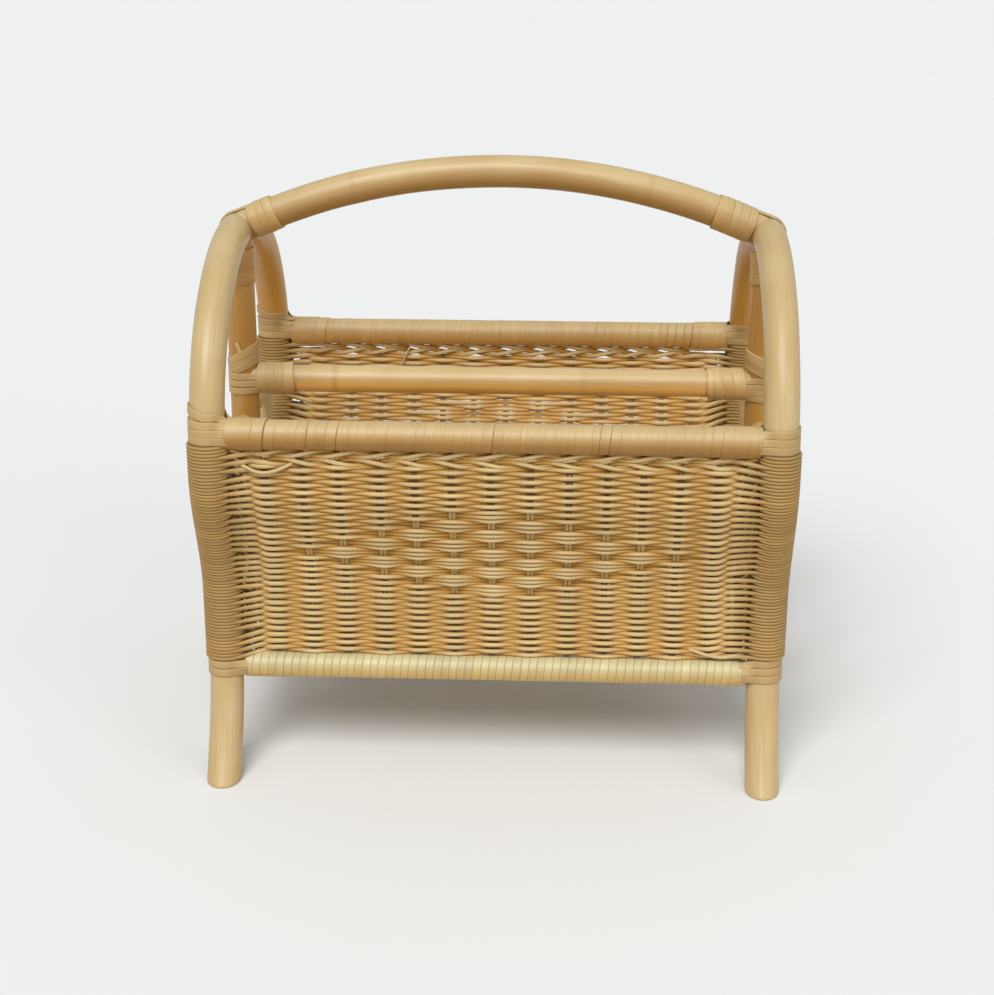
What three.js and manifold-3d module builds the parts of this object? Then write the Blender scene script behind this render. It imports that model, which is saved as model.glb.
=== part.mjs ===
// A rattan magazine basket: two bent end hoops carry the handle, the rails, the woven
// panels and the peel bindings that tie every joint.
import * as THREE from "three";
import { mergeVertices } from "three/addons/utils/BufferGeometryUtils.js";
import Module from "manifold-3d";

const wasm = await Module();
wasm.setup();

// Driving sizes in millimetres. X runs along the basket, Y from front to back, Z up.
const basketLength = 400; // between the axes of the two end hoops
const hoopPoleWidth = 25;
const postWidth = 22;
const handleWidth = 24;
const centerRailWidth = 21;
const topRailWidth = 18.5;
const bottomRailWidth = 16.5;
const stretcherWidth = 18;
const centerFootRailWidth = 16;
const braceWidth = 12;

// The outline of one hoop leg, read upwards from the floor.
const footReach = 156; // from the middle of the basket to the leg's axis
const waistReach = 120.5;
const shoulderReach = 149;
const flareHeight = 112;
const waistHeight = 28;
const bellyHeight = 102;
const shoulderHeight = 20;
const archHeight = 123;
const flareBend = 2.2; // power of the curve from the waist out to the foot

const topRailHeight = 268;
const bottomRailHeight = 81;
const handleRise = 45; // crown of the handle above its ends

// Curved braces between each post and the stretcher below it.
const braceReach = 88;
const braceDrop = 33; // from the rails' axis down to the brace's root on the post
const braceBendRadius = 12;

// Woven parts.
const panelThickness = 7; // over the stakes
const webThickness = 3.2; // of the weave between the stakes
const stakePairCount = 13;
const stakePairPitch = 26.6;
const ribWidth = 5.6; // where the weave lies flat over a pair of stakes
const ribSpread = 13; // where it has sunk back between them
const sleeveWall = 2.6; // weave wound round a hoop leg
const crossingLength = 33; // from a leg's axis to the flat web
const panelMargin = 0.3;
const baseThickness = 5; // over the stakes
const baseWebThickness = 2.2;
const baseEndGap = 17; // from a leg's axis to the end of the base
const baseSideGap = 0.5;

// Peel wraps and bindings.
const peelThickness = 1.2;
const peelWidth = 5.8;
const peelPitch = 6.5;
const strapPitch = 5.8; // straps that hold a rail to a leg lie edge to edge
const postStrapPitch = 5;
const strapGroove = 0.7; // depth of the groove between two of them
const strapBevel = 0.7;
const armGap = 1.2; // between a strap's arm and the side of the rail
const leftTopStrapRise = 7.3; // from a rail's axis up to the middle of its straps
const rightTopStrapRise = 3.5;
const leftBottomStrapRise = 0.4;
const rightBottomStrapRise = 6;
const leftPostStrapRise = 2;
const rightPostStrapRise = 0.2;
const cornerSlack = 1; // between a strap and the weave next to it
const wrapEndGap = 0.6; // between a rail's wrap and the straps at its end
const notchGap = 0.9; // between the weave and the straps beside it
const railWrapThickness = 0.9;
const saddleWidth = 9;
const handleWindingGap = 16.6; // from the hoop's axis along the handle
const postWindingGap = 15; // from the hoop's axis down to the first turn
const railWindingGap = 15.4; // from the post's axis along the center rail

// Screws that hold the rails and the handle.
const screwShankWidth = 3.4;
const screwHeadWidth = 7;
const screwHeadThickness = 2;
const screwLength = 44;
const screwSink = 0.9; // head below the pole's surface

const clearance = 0.3;
const overrun = 6; // how far a cutting solid runs past what it cuts
const weldDistance = 1e-4;

// Facets and turns.
const poleSides = 12;
const wrapSides = 16;
const braceSides = 8;
const screwSides = 8;
const hoopSteps = 44;
const legStations = 12;
const archStations = 14;
const handleSteps = 20;
const bendStations = 10;
const braceSteps = 18;
const panelSteps = 8;
const sleeveSegments = 5;
const stepsPerTurn = 12;
const strapSteps = 8; // round the open half of a pole
const handleTurnCounts = { left: 2.5, right: 4 };
const railTurnCounts = { left: 3.5, right: 3.5 };
// Straps at each joint.
const topStraps = {
  left: { count: 4, rise: leftTopStrapRise },
  right: { count: 3, rise: rightTopStrapRise },
};
const bottomStraps = {
  left: { count: 2, rise: leftBottomStrapRise },
  right: { count: 3, rise: rightBottomStrapRise },
};
const postStraps = {
  left: { count: 5, rise: leftPostStrapRise },
  right: { count: 5, rise: rightPostStrapRise },
};
const postBindingShare = 0.31; // of the post's free length under the crown
// Places across a ribbon where its gap to itself is measured.
const gapShares = [0, 0.1, 0.2, 0.3, 0.4, 0.5, 0.6, 0.7, 0.8, 0.9, 1];
const saddleShares = { from: 3 / stepsPerTurn, to: 7 / stepsPerTurn };

// Sizes that follow from the ones above.
const halfLength = basketLength / 2;
const hoopRadius = hoopPoleWidth / 2;
const postRadius = postWidth / 2;
const handleRadius = handleWidth / 2;
const centerRailRadius = centerRailWidth / 2;
const topRailRadius = topRailWidth / 2;
const bottomRailRadius = bottomRailWidth / 2;
const stretcherRadius = stretcherWidth / 2;
const centerFootRailRadius = centerFootRailWidth / 2;
const braceRadius = braceWidth / 2;
const bellyStart = flareHeight + waistHeight;
const shoulderStart = bellyStart + bellyHeight;
const springHeight = shoulderStart + shoulderHeight;
const crownHeight = springHeight + archHeight;
const topWrapRadius = topRailRadius + clearance + railWrapThickness;
const bottomWrapRadius = bottomRailRadius + clearance + railWrapThickness;
const bindingBuild = clearance + peelThickness;
const braceRootHeight = topRailHeight - braceDrop;

const sides = { left: -1, right: 1 };
const faces = { front: -1, rear: 1 };

const alongX = new THREE.Vector3(1, 0, 0);
const alongY = new THREE.Vector3(0, 1, 0);
const alongZ = new THREE.Vector3(0, 0, 1);

const ease = (t) => t * t * (3 - 2 * t);

// Distance of a hoop's axis from the middle of the basket at a given height.
function reachAt(height) {
  if (height > springHeight) {
    const climb = Math.min(1, (height - springHeight) / archHeight);
    return shoulderReach * Math.sqrt(1 - climb * climb);
  }
  if (height < flareHeight) {
    const drop = Math.max(0, flareHeight - height) / flareHeight;
    return waistReach + (footReach - waistReach) * drop ** flareBend;
  }
  const bulge = THREE.MathUtils.clamp((height - bellyStart) / bellyHeight, 0, 1);
  return waistReach + (shoulderReach - waistReach) * ease(bulge);
}

const topRailReach = reachAt(topRailHeight);
const bottomRailReach = reachAt(bottomRailHeight);

// The axis of a whole hoop, from the front foot over the crown to the rear foot.
function hoopAxis(side) {
  const x = side * halfLength;
  const leg = [];
  for (let i = 0; i <= legStations; i++) {
    const height = (springHeight * i) / legStations;
    leg.push([reachAt(height), height]);
  }
  const toeSlope = (leg[0][0] - leg[1][0]) / (leg[1][1] - leg[0][1]);
  leg.unshift([leg[0][0] + toeSlope * overrun, -overrun]);
  const points = leg.map(([reach, height]) => new THREE.Vector3(x, -reach, height));
  for (let i = 1; i < archStations; i++) {
    const angle = (Math.PI * i) / archStations;
    const y = -shoulderReach * Math.cos(angle);
    points.push(new THREE.Vector3(x, y, springHeight + archHeight * Math.sin(angle)));
  }
  leg.reverse();
  points.push(...leg.map(([reach, height]) => new THREE.Vector3(x, reach, height)));
  return new THREE.CatmullRomCurve3(points);
}

// The same distance on the straight steps that the hoop's solid is made of.
const hoopChords = hoopAxis(sides.right).getSpacedPoints(hoopSteps);
function chordReachAt(height) {
  const next = hoopChords.findIndex((spot) => spot.z > height);
  const share = (height - hoopChords[next - 1].z) / (hoopChords[next].z - hoopChords[next - 1].z);
  return -THREE.MathUtils.lerp(hoopChords[next - 1].y, hoopChords[next].y, share);
}

const handleBend = (halfLength ** 2 + handleRise ** 2) / (2 * handleRise);
const handleHalfAngle = Math.asin(halfLength / handleBend);
const handleCenterHeight = crownHeight + handleRise - handleBend;

// A point of the handle's axis, by its angle from the crown; the left half has negative angles.
function handlePoint(angle) {
  const z = handleCenterHeight + handleBend * Math.cos(angle);
  return new THREE.Vector3(handleBend * Math.sin(angle), 0, z);
}

// The way the handle runs at that angle, away from the end on the given side.
const handleRun = (side, angle) =>
  new THREE.Vector3(-side * Math.cos(angle), 0, side * Math.sin(angle));

function handleAxis() {
  const points = [];
  for (let i = 0; i <= handleSteps; i++) {
    points.push(handlePoint(handleHalfAngle * ((2 * i) / handleSteps - 1)));
  }
  return new THREE.CatmullRomCurve3(points);
}

// A brace leaves the post level, bends down and stands on the stretcher.
function braceAxis(side, face) {
  const x = side * halfLength;
  const bendHeight = braceRootHeight - braceBendRadius;
  const points = [new THREE.Vector3(x, 0, braceRootHeight)];
  for (let i = 0; i <= bendStations; i++) {
    const angle = (Math.PI / 2) * (i / bendStations);
    const out = braceReach - braceBendRadius * (1 - Math.sin(angle));
    points.push(new THREE.Vector3(x, face * out, bendHeight + braceBendRadius * Math.cos(angle)));
  }
  points.push(new THREE.Vector3(x, face * braceReach, bottomRailHeight));
  const path = new THREE.CurvePath();
  for (let i = 1; i < points.length; i++) {
    path.add(new THREE.LineCurve3(points[i - 1], points[i]));
  }
  return path;
}

// A closed mesh as a solid that can be cut and joined.
function solidOf(geometry) {
  const bare = geometry.clone();
  bare.deleteAttribute("normal");
  bare.deleteAttribute("uv");
  const merged = mergeVertices(bare, weldDistance);
  return new wasm.Manifold(
    new wasm.Mesh({
      numProp: 3,
      vertProperties: new Float32Array(merged.attributes.position.array),
      triVerts: new Uint32Array(merged.index.array),
    }),
  );
}

function geometryOf(solid) {
  const mesh = solid.getMesh();
  const geometry = new THREE.BufferGeometry();
  geometry.setAttribute("position", new THREE.BufferAttribute(mesh.vertProperties, 3));
  geometry.setIndex(new THREE.BufferAttribute(mesh.triVerts, 1));
  geometry.computeVertexNormals();
  return geometry;
}

const cut = (solid, ...tools) => tools.reduce((left, tool) => left.subtract(tool), solid);

function roundShape(radius, count) {
  const points = [];
  for (let i = 0; i < count; i++) {
    const angle = (2 * Math.PI * i) / count;
    points.push(new THREE.Vector2(radius * Math.cos(angle), radius * Math.sin(angle)));
  }
  return new THREE.Shape(points);
}

function poleAlong(curve, radius, steps, count = poleSides) {
  const options = { steps, bevelEnabled: false, extrudePath: curve };
  return solidOf(new THREE.ExtrudeGeometry(roundShape(radius, count), options));
}

// A straight round pole between two points.
function poleBetween(start, end, radius, count = poleSides) {
  const along = new THREE.Vector3().subVectors(end, start);
  const geometry = new THREE.CylinderGeometry(radius, radius, along.length(), count);
  const turn = new THREE.Quaternion().setFromUnitVectors(alongY, along.clone().normalize());
  geometry.applyQuaternion(turn);
  geometry.translate(...start.clone().addScaledVector(along, 0.5).toArray());
  return solidOf(geometry);
}

function blockBetween(low, high) {
  const size = new THREE.Vector3().subVectors(high, low);
  const geometry = new THREE.BoxGeometry(size.x, size.y, size.z);
  geometry.translate(...low.clone().addScaledVector(size, 0.5).toArray());
  return solidOf(geometry);
}

const hoopTool = (side) => poleAlong(hoopAxis(side), hoopRadius + clearance, hoopSteps);

const postFoot = bottomRailHeight + stretcherRadius / 2;
const postLine = (side) => [
  new THREE.Vector3(side * halfLength, 0, postFoot),
  new THREE.Vector3(side * halfLength, 0, crownHeight),
];
const postTool = (side) => poleBetween(...postLine(side), postRadius + clearance);

const stretcherLine = (side) => [
  new THREE.Vector3(side * halfLength, -bottomRailReach, bottomRailHeight),
  new THREE.Vector3(side * halfLength, bottomRailReach, bottomRailHeight),
];
const stretcherTool = (side) => poleBetween(...stretcherLine(side), stretcherRadius + clearance);

// A screw along a straight line: its head sits below the pole's surface, its tip in the rail.
function screwSolid(head, direction, extra) {
  const shank = screwShankWidth / 2 + extra;
  const reach = screwLength + extra;
  const rim = extra > 0 ? overrun : 0;
  const start = head.clone().addScaledVector(direction, -rim);
  const neck = head.clone().addScaledVector(direction, screwHeadThickness + extra);
  const tip = head.clone().addScaledVector(direction, reach);
  const headSolid = poleBetween(start, neck, screwHeadWidth / 2 + extra, screwSides);
  return headSolid.add(poleBetween(head, tip, shank, screwSides));
}

// Every screw: a name, the place of its head and the way it points.
function screwPlaces() {
  const places = [];
  for (const [sideName, side] of Object.entries(sides)) {
    const inward = new THREE.Vector3(-side, 0, 0);
    for (const [faceName, face] of Object.entries(faces)) {
      const top = new THREE.Vector3(side * halfLength, face * topRailReach, topRailHeight);
      const low = new THREE.Vector3(side * halfLength, face * bottomRailReach, bottomRailHeight);
      places.push([`${sideName}_${faceName}_top_rail_screw`, top, inward, hoopRadius]);
      places.push([`${sideName}_${faceName}_bottom_rail_screw`, low, inward, hoopRadius]);
    }
    const center = new THREE.Vector3(side * halfLength, 0, topRailHeight);
    places.push([`${sideName}_center_rail_screw`, center, inward, postRadius]);
    const crown = new THREE.Vector3(side * halfLength, 0, crownHeight);
    const climb = handleRun(side, side * handleHalfAngle);
    places.push([`${sideName}_handle_screw`, crown, climb, hoopRadius]);
  }
  return places.map(([name, middle, direction, radius]) => ({
    name,
    direction,
    head: middle.clone().addScaledVector(direction, screwSink - radius),
  }));
}

const hoopTools = [hoopTool(sides.left), hoopTool(sides.right)];
const postTools = [postTool(sides.left), postTool(sides.right)];
const stretcherTools = [stretcherTool(sides.left), stretcherTool(sides.right)];
const screws = screwPlaces();
const screwTools = screws.map(({ head, direction }) => screwSolid(head, direction, clearance));

function endHoop(side) {
  const far = halfLength + footReach + crownHeight;
  const floor = blockBetween(new THREE.Vector3(-far, -far, -far), new THREE.Vector3(far, far, 0));
  return cut(poleAlong(hoopAxis(side), hoopRadius, hoopSteps), floor, ...screwTools);
}

function carryingHandle() {
  const pole = poleAlong(handleAxis(), handleRadius, handleSteps);
  return cut(pole, ...hoopTools, ...postTools, ...screwTools);
}

function centerPost(side) {
  const pole = poleBetween(...postLine(side), postRadius);
  return cut(pole, hoopTool(side), stretcherTool(side), ...screwTools);
}

// A rail along the basket, coped at both ends to the poles that hold it.
function railAcross(reach, height, radius, endTools) {
  const start = new THREE.Vector3(-halfLength, reach, height);
  const end = new THREE.Vector3(halfLength, reach, height);
  return cut(poleBetween(start, end, radius), ...endTools, ...screwTools);
}

const baseLow = bottomRailHeight + bottomWrapRadius + clearance;
const baseTop = baseLow + baseThickness;
const centerFootRailHeight = baseLow - clearance - centerFootRailRadius;

function endBrace(side, face) {
  const pole = poleAlong(braceAxis(side, face), braceRadius, braceSteps, braceSides);
  return cut(pole, postTool(side), stretcherTool(side));
}

// The places across a wall of weave, and how far it stands out there: over each pair of stakes
// by half its thickness, and less between the pairs.
function ribLine(thickness, web) {
  const spots = [];
  for (let i = 0; i < stakePairCount; i++) {
    const middle = stakePairPitch * (i - (stakePairCount - 1) / 2);
    spots.push([middle - ribSpread / 2, web / 2], [middle - ribWidth / 2, thickness / 2]);
    spots.push([middle + ribWidth / 2, thickness / 2], [middle + ribSpread / 2, web / 2]);
  }
  return spots;
}

// A wall of weave in plan: it follows a line of places and closes round both hoop legs.
function wallOutline(line, extra) {
  const sleeve = hoopRadius + clearance + sleeveWall + extra;
  const shape = new THREE.Shape();
  shape.moveTo(line[0][0], -line[0][1]);
  for (const [x, out] of line.slice(1)) shape.lineTo(x, -out);
  shape.absarc(halfLength, 0, sleeve, -Math.PI / 2, Math.PI / 2);
  for (const [x, out] of line.toReversed()) shape.lineTo(x, out);
  shape.absarc(-halfLength, 0, sleeve, Math.PI / 2, (3 * Math.PI) / 2);
  shape.closePath();
  return shape;
}

const webEnd = halfLength - crossingLength;

// An outline raised between two heights, each level of it following the lean of the legs.
function leaningWall(outline, face, low, high) {
  const geometry = new THREE.ExtrudeGeometry(outline, {
    steps: panelSteps,
    depth: high - low,
    bevelEnabled: false,
    curveSegments: sleeveSegments,
  });
  geometry.translate(0, 0, low);
  const spots = geometry.attributes.position;
  for (let i = 0; i < spots.count; i++) {
    spots.setY(i, spots.getY(i) + face * reachAt(spots.getZ(i)));
  }
  return solidOf(geometry);
}

// The panel stands between the rails, with its corners open for the straps.
function wovenPanel(face) {
  const low = bottomRailHeight + bottomWrapRadius + panelMargin;
  const high = topRailHeight - topWrapRadius - panelMargin;
  const inner = halfLength - hoopRadius - bindingBuild - notchGap;
  const far = inner + footReach;
  const notches = Object.entries(sides).flatMap(([name, side]) => {
    const near = Math.min(side * inner, side * far);
    const away = Math.max(side * inner, side * far);
    const top = topStraps[name];
    const bottom = bottomStraps[name];
    const sleeveTop = topRailHeight + top.rise - (top.count * strapPitch) / 2 - cornerSlack;
    const sleeveLow = bottomRailHeight + bottom.rise + (bottom.count * strapPitch) / 2 + cornerSlack;
    return [
      blockBetween(new THREE.Vector3(near, -far, sleeveTop), new THREE.Vector3(away, far, crownHeight)),
      blockBetween(new THREE.Vector3(near, -far, 0), new THREE.Vector3(away, far, sleeveLow)),
    ];
  });
  const line = [[-webEnd, webThickness / 2], ...ribLine(panelThickness, webThickness)];
  line.push([webEnd, webThickness / 2]);
  return cut(leaningWall(wallOutline(line, 0), face, low, high), ...hoopTools, ...notches);
}

// The woven floor lies on the two bottom rails and the rail between them, its stakes in line
// with those of the panels.
function wovenBase() {
  const end = halfLength - baseEndGap;
  const far = reachAt(baseTop);
  const line = [[-end, baseWebThickness / 2], ...ribLine(baseThickness, baseWebThickness)];
  line.push([end, baseWebThickness / 2]);
  const shape = new THREE.Shape();
  shape.moveTo(line[0][0], -line[0][1]);
  for (const [x, out] of line.slice(1)) shape.lineTo(x, -out);
  for (const [x, out] of line.toReversed()) shape.lineTo(x, out);
  shape.closePath();
  const geometry = new THREE.ExtrudeGeometry(shape, { steps: 1, depth: 2 * far, bevelEnabled: false });
  geometry.translate(0, 0, -far);
  geometry.rotateX(Math.PI / 2);
  geometry.translate(0, 0, (baseLow + baseTop) / 2);
  const wallHalf = panelThickness / 2 + baseSideGap;
  const flatWall = wallOutline([[-webEnd, wallHalf], [webEnd, wallHalf]], baseSideGap);
  const walls = Object.values(faces).map((face) =>
    leaningWall(flatWall, face, baseLow - overrun, baseTop + overrun),
  );
  return cut(solidOf(geometry), ...walls);
}

// The peel round a rail, drawn as the even sleeve that its close turns make.
function railWrap(face, reach, height, radius, wrapRadius) {
  const bore = radius + clearance;
  const half = halfLength - hoopRadius - bindingBuild - wrapEndGap;
  const profile = [
    new THREE.Vector2(bore, -half),
    new THREE.Vector2(wrapRadius, -half),
    new THREE.Vector2(wrapRadius, half),
    new THREE.Vector2(bore, half),
    new THREE.Vector2(bore, -half),
  ];
  const geometry = new THREE.LatheGeometry(profile, wrapSides);
  geometry.rotateZ(Math.PI / 2);
  geometry.translate(0, face * reach, height);
  return solidOf(geometry);
}

// A flat ribbon wound round an axis. levelAt gives its place along the axis for each turn.
function windRibbon({ name, axis, across, radius, seat, from, to, levelAt, width, thickness }) {
  const steps = Math.round((to - from) * stepsPerTurn);
  const inner = (radius + seat) / Math.cos(Math.PI / stepsPerTurn);
  const spotAt = (turn) => {
    const { point, along } = axis(levelAt(turn));
    const side = new THREE.Vector3().crossVectors(along, across);
    const angle = 2 * Math.PI * turn;
    const out = across.clone().multiplyScalar(Math.cos(angle)).addScaledVector(side, Math.sin(angle));
    return { at: point.clone().addScaledVector(out, inner), out };
  };
  const rings = [];
  for (let i = 0; i <= steps; i++) {
    const turn = from + i / stepsPerTurn;
    const before = spotAt(Math.max(from, turn - 1 / stepsPerTurn)).at;
    const after = spotAt(Math.min(to, turn + 1 / stepsPerTurn)).at;
    const { at, out } = spotAt(turn);
    const wide = new THREE.Vector3().crossVectors(out, after.sub(before)).normalize();
    const ring = [];
    for (const [share, lift] of [[-0.5, 0], [0.5, 0], [0.5, thickness], [-0.5, thickness]]) {
      ring.push(at.clone().addScaledVector(wide, share * width).addScaledVector(out, lift));
    }
    rings.push(ring);
  }
  const gap = leastGap(rings);
  if (Number.isFinite(gap)) console.log(name, "least gap to itself", gap.toFixed(2), "mm");
  return solidOf(tubeThrough(rings));
}

// The least distance from points of the ribbon's faces to lines that run along those faces,
// where the two lie over half a turn apart.
function leastGap(rings) {
  const spots = rings.map(([lowNear, lowFar, topFar, topNear]) =>
    gapShares.flatMap((share) => [
      lowNear.clone().lerp(lowFar, share),
      topNear.clone().lerp(topFar, share),
    ]),
  );
  const apart = stepsPerTurn / 2 + 1;
  const line = new THREE.Line3();
  const nearest = new THREE.Vector3();
  let least = Infinity;
  spots.forEach((row, i) => {
    for (let j = 0; j + 1 < spots.length; j++) {
      if (Math.abs(i - j) <= apart) continue;
      spots[j].forEach((start, k) => {
        line.set(start, spots[j + 1][k]);
        for (const spot of row) {
          least = Math.min(least, line.closestPointToPoint(spot, true, nearest).distanceTo(spot));
        }
      });
    }
  });
  return least;
}

// A closed body through a row of rings that have the same number of corners.
function tubeThrough(rings) {
  const corners = rings[0].length;
  const spots = rings.flat().flatMap((corner) => corner.toArray());
  const index = [];
  for (let i = 0; i + 1 < rings.length; i++) {
    for (let k = 0; k < corners; k++) {
      const near = corners * i + k;
      const next = corners * i + ((k + 1) % corners);
      index.push(near, next, next + corners, near, next + corners, near + corners);
    }
  }
  const last = corners * (rings.length - 1);
  for (let k = 1; k + 1 < corners; k++) {
    index.push(0, k + 1, k, last, last + k, last + k + 1);
  }
  const geometry = new THREE.BufferGeometry();
  geometry.setAttribute("position", new THREE.Float32BufferAttribute(spots, 3));
  geometry.setIndex(index);
  return geometry;
}

// Axes that bindings are wound on: each gives a point and a direction for a level.
const postWindingAxis = (side, middle) => (level) => ({
  point: new THREE.Vector3(side * halfLength, 0, middle + level),
  along: alongZ,
});

const railWindingAxis = (side) => (level) => ({
  point: new THREE.Vector3(side * (halfLength - level), 0, topRailHeight),
  along: new THREE.Vector3(-side, 0, 0),
});

const handleWindingAxis = (side) => (level) => {
  const angle = side * (handleHalfAngle - level / handleBend);
  return { point: handlePoint(angle), along: handleRun(side, angle) };
};

const crownAxis = (side) => () => ({
  point: new THREE.Vector3(side * halfLength, 0, crownHeight),
  along: new THREE.Vector3(0, side, 0),
});

function plainWinding(name, axis, across, radius, start, turns) {
  return windRibbon({
    name,
    axis,
    across,
    radius,
    from: 0,
    to: turns,
    levelAt: (turn) => start + turn * peelPitch,
    seat: clearance,
    width: peelWidth,
    thickness: peelThickness,
  });
}

// Straps that lie edge to edge round the open side of an upright pole. Their arms close in on
// the rail behind it and end where the rail's own wrap starts. reachOf gives the pole's place
// at a height, rail how far its side and the arms' ends are from the pole's axis, and arms the
// faces that have an arm. A level section of a leaning pole is longer than the pole is wide.
function strapStack({ side, reachOf, middle, count, pitch, radius, rail, arms }) {
  const plan = [];
  const round = (radius + clearance) / Math.cos(Math.PI / (2 * strapSteps));
  for (let i = 0; i <= strapSteps; i++) {
    const angle = Math.PI * (i / strapSteps - 1 / 2);
    const out = new THREE.Vector2(Math.cos(angle), Math.sin(angle));
    plan.push({ at: out.clone().multiplyScalar(round), out });
  }
  const armEnd = (way) => ({
    at: new THREE.Vector2(-rail.end, way * rail.halfWidth),
    out: new THREE.Vector2(0, way),
  });
  if (arms.includes(faces.front)) plan.unshift(armEnd(faces.front));
  if (arms.includes(faces.rear)) plan.push(armEnd(faces.rear));
  const low = middle - (count * pitch) / 2;
  const section = [[0, 0]];
  for (let i = 0; i < count; i++) {
    if (i > 0) section.push([i * pitch, peelThickness - strapGroove]);
    section.push([i * pitch + strapBevel, peelThickness], [(i + 1) * pitch - strapBevel, peelThickness]);
  }
  section.push([count * pitch, 0]);
  const rings = plan.map(({ at, out }) =>
    section.map(([rise, lift]) => {
      const spot = at.clone().addScaledVector(out, lift);
      const height = low + rise;
      const lean = (reachOf(height + pitch / 2) - reachOf(height - pitch / 2)) / pitch;
      const y = reachOf(height) + spot.y * Math.hypot(1, lean);
      return new THREE.Vector3(side * (halfLength + spot.x), y, height);
    }),
  );
  if (side > 0) rings.reverse();
  return solidOf(tubeThrough(rings));
}

const railArms = (radius) => ({
  halfWidth: radius + armGap,
  end: hoopRadius + bindingBuild + wrapEndGap - clearance,
});

// The straps at a leg. Low down the stretcher stands where the inner arm would lie.
function cornerStraps(side, face, railHeight, railRadius, { count, rise }) {
  const stack = strapStack({
    side,
    reachOf: (height) => face * chordReachAt(height),
    middle: railHeight + rise,
    count,
    pitch: strapPitch,
    radius: hoopRadius,
    rail: railArms(railRadius),
    arms: railHeight < flareHeight ? [face] : Object.values(faces),
  });
  return cut(stack, hoopTool(side), stretcherTool(side));
}

function postStrapStack(side, { count, rise }) {
  return strapStack({
    side,
    reachOf: () => 0,
    middle: topRailHeight + rise,
    count,
    pitch: postStrapPitch,
    radius: postRadius,
    rail: { halfWidth: centerRailRadius + armGap, end: postRadius + wrapEndGap },
    arms: Object.values(faces),
  });
}

// The binding under the crown takes its share of the post between the hoop and the straps.
function postTurnsAbove({ count, rise }) {
  const strapsTop = topRailHeight + rise + (count * postStrapPitch) / 2;
  const free = crownHeight - postWindingGap - strapsTop;
  return Math.round((free * postBindingShare) / peelPitch);
}

// The strap laid over the hoop's crown where the handle butts against it.
function saddleStrap(name, side) {
  return windRibbon({
    name,
    axis: crownAxis(side),
    across: new THREE.Vector3(-side, 0, 0),
    radius: hoopRadius,
    from: saddleShares.from,
    to: saddleShares.to,
    levelAt: () => 0,
    seat: clearance,
    width: saddleWidth,
    thickness: peelThickness,
  });
}

const basket = new THREE.Group();

function addPiece(name, solid, color, roughness, metalness = 0) {
  const material = new THREE.MeshStandardMaterial({ color, roughness, metalness });
  const mesh = new THREE.Mesh(geometryOf(solid), material);
  mesh.name = name;
  basket.add(mesh);
}

const addPole = (name, solid) => addPiece(name, solid, 0xdfc28a, 0.5);
const addWeave = (name, solid) => addPiece(name, solid, 0xd9b67e, 0.7);
const addPeel = (name, solid) => addPiece(name, solid, 0xe6cf9c, 0.45);
const addSteel = (name, solid) => addPiece(name, solid, 0x8d8a84, 0.4, 1);

addPole("carrying_handle", carryingHandle());
addPole("center_rail", railAcross(0, topRailHeight, centerRailRadius, postTools));
addPole(
  "center_bottom_rail",
  railAcross(0, centerFootRailHeight, centerFootRailRadius, [...stretcherTools, ...postTools]),
);
addWeave("woven_base", wovenBase());

for (const [name, face] of Object.entries(faces)) {
  const topReach = face * topRailReach;
  const lowReach = face * bottomRailReach;
  addPole(`${name}_top_rail`, railAcross(topReach, topRailHeight, topRailRadius, hoopTools));
  addPole(`${name}_bottom_rail`, railAcross(lowReach, bottomRailHeight, bottomRailRadius, hoopTools));
  addWeave(`${name}_woven_panel`, wovenPanel(face));
  addPeel(
    `${name}_top_rail_wrap`,
    railWrap(face, topRailReach, topRailHeight, topRailRadius, topWrapRadius),
  );
  addPeel(
    `${name}_bottom_rail_wrap`,
    railWrap(face, bottomRailReach, bottomRailHeight, bottomRailRadius, bottomWrapRadius),
  );
}

for (const [name, side] of Object.entries(sides)) {
  addPole(`${name}_end_hoop`, endHoop(side));
  addPole(`${name}_center_post`, centerPost(side));
  addPole(`${name}_stretcher`, cut(poleBetween(...stretcherLine(side), stretcherRadius), hoopTool(side)));
  addPeel(`${name}_saddle_strap`, saddleStrap(`${name}_saddle_strap`, side));
  const handleBinding = `${name}_handle_binding`;
  const postBinding = `${name}_post_top_binding`;
  const railBinding = `${name}_center_rail_binding`;
  const postTurns = postTurnsAbove(postStraps[name]);
  const postAxis = postWindingAxis(side, crownHeight - postWindingGap - postTurns * peelPitch);
  const handleRunAxis = handleWindingAxis(side);
  const railRunAxis = railWindingAxis(side);
  const turns = handleTurnCounts[name];
  addPeel(
    handleBinding,
    plainWinding(handleBinding, handleRunAxis, alongY, handleRadius, handleWindingGap, turns),
  );
  addPeel(postBinding, plainWinding(postBinding, postAxis, alongX, postRadius, 0, postTurns));
  addPeel(
    railBinding,
    plainWinding(railBinding, railRunAxis, alongY, centerRailRadius, railWindingGap, railTurnCounts[name]),
  );
  addPeel(`${name}_post_lashing`, postStrapStack(side, postStraps[name]));
  for (const [faceName, face] of Object.entries(faces)) {
    const top = cornerStraps(side, face, topRailHeight, topRailRadius, topStraps[name]);
    const low = cornerStraps(side, face, bottomRailHeight, bottomRailRadius, bottomStraps[name]);
    addPole(`${name}_${faceName}_end_brace`, endBrace(side, face));
    addPeel(`${name}_${faceName}_top_lashing`, top);
    addPeel(`${name}_${faceName}_bottom_lashing`, low);
  }
}

for (const { name, head, direction } of screws) {
  addSteel(name, screwSolid(head, direction, 0));
}

export default basket;
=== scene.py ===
import math
import random

import bpy
from mathutils import Matrix, Vector, noise


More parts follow.
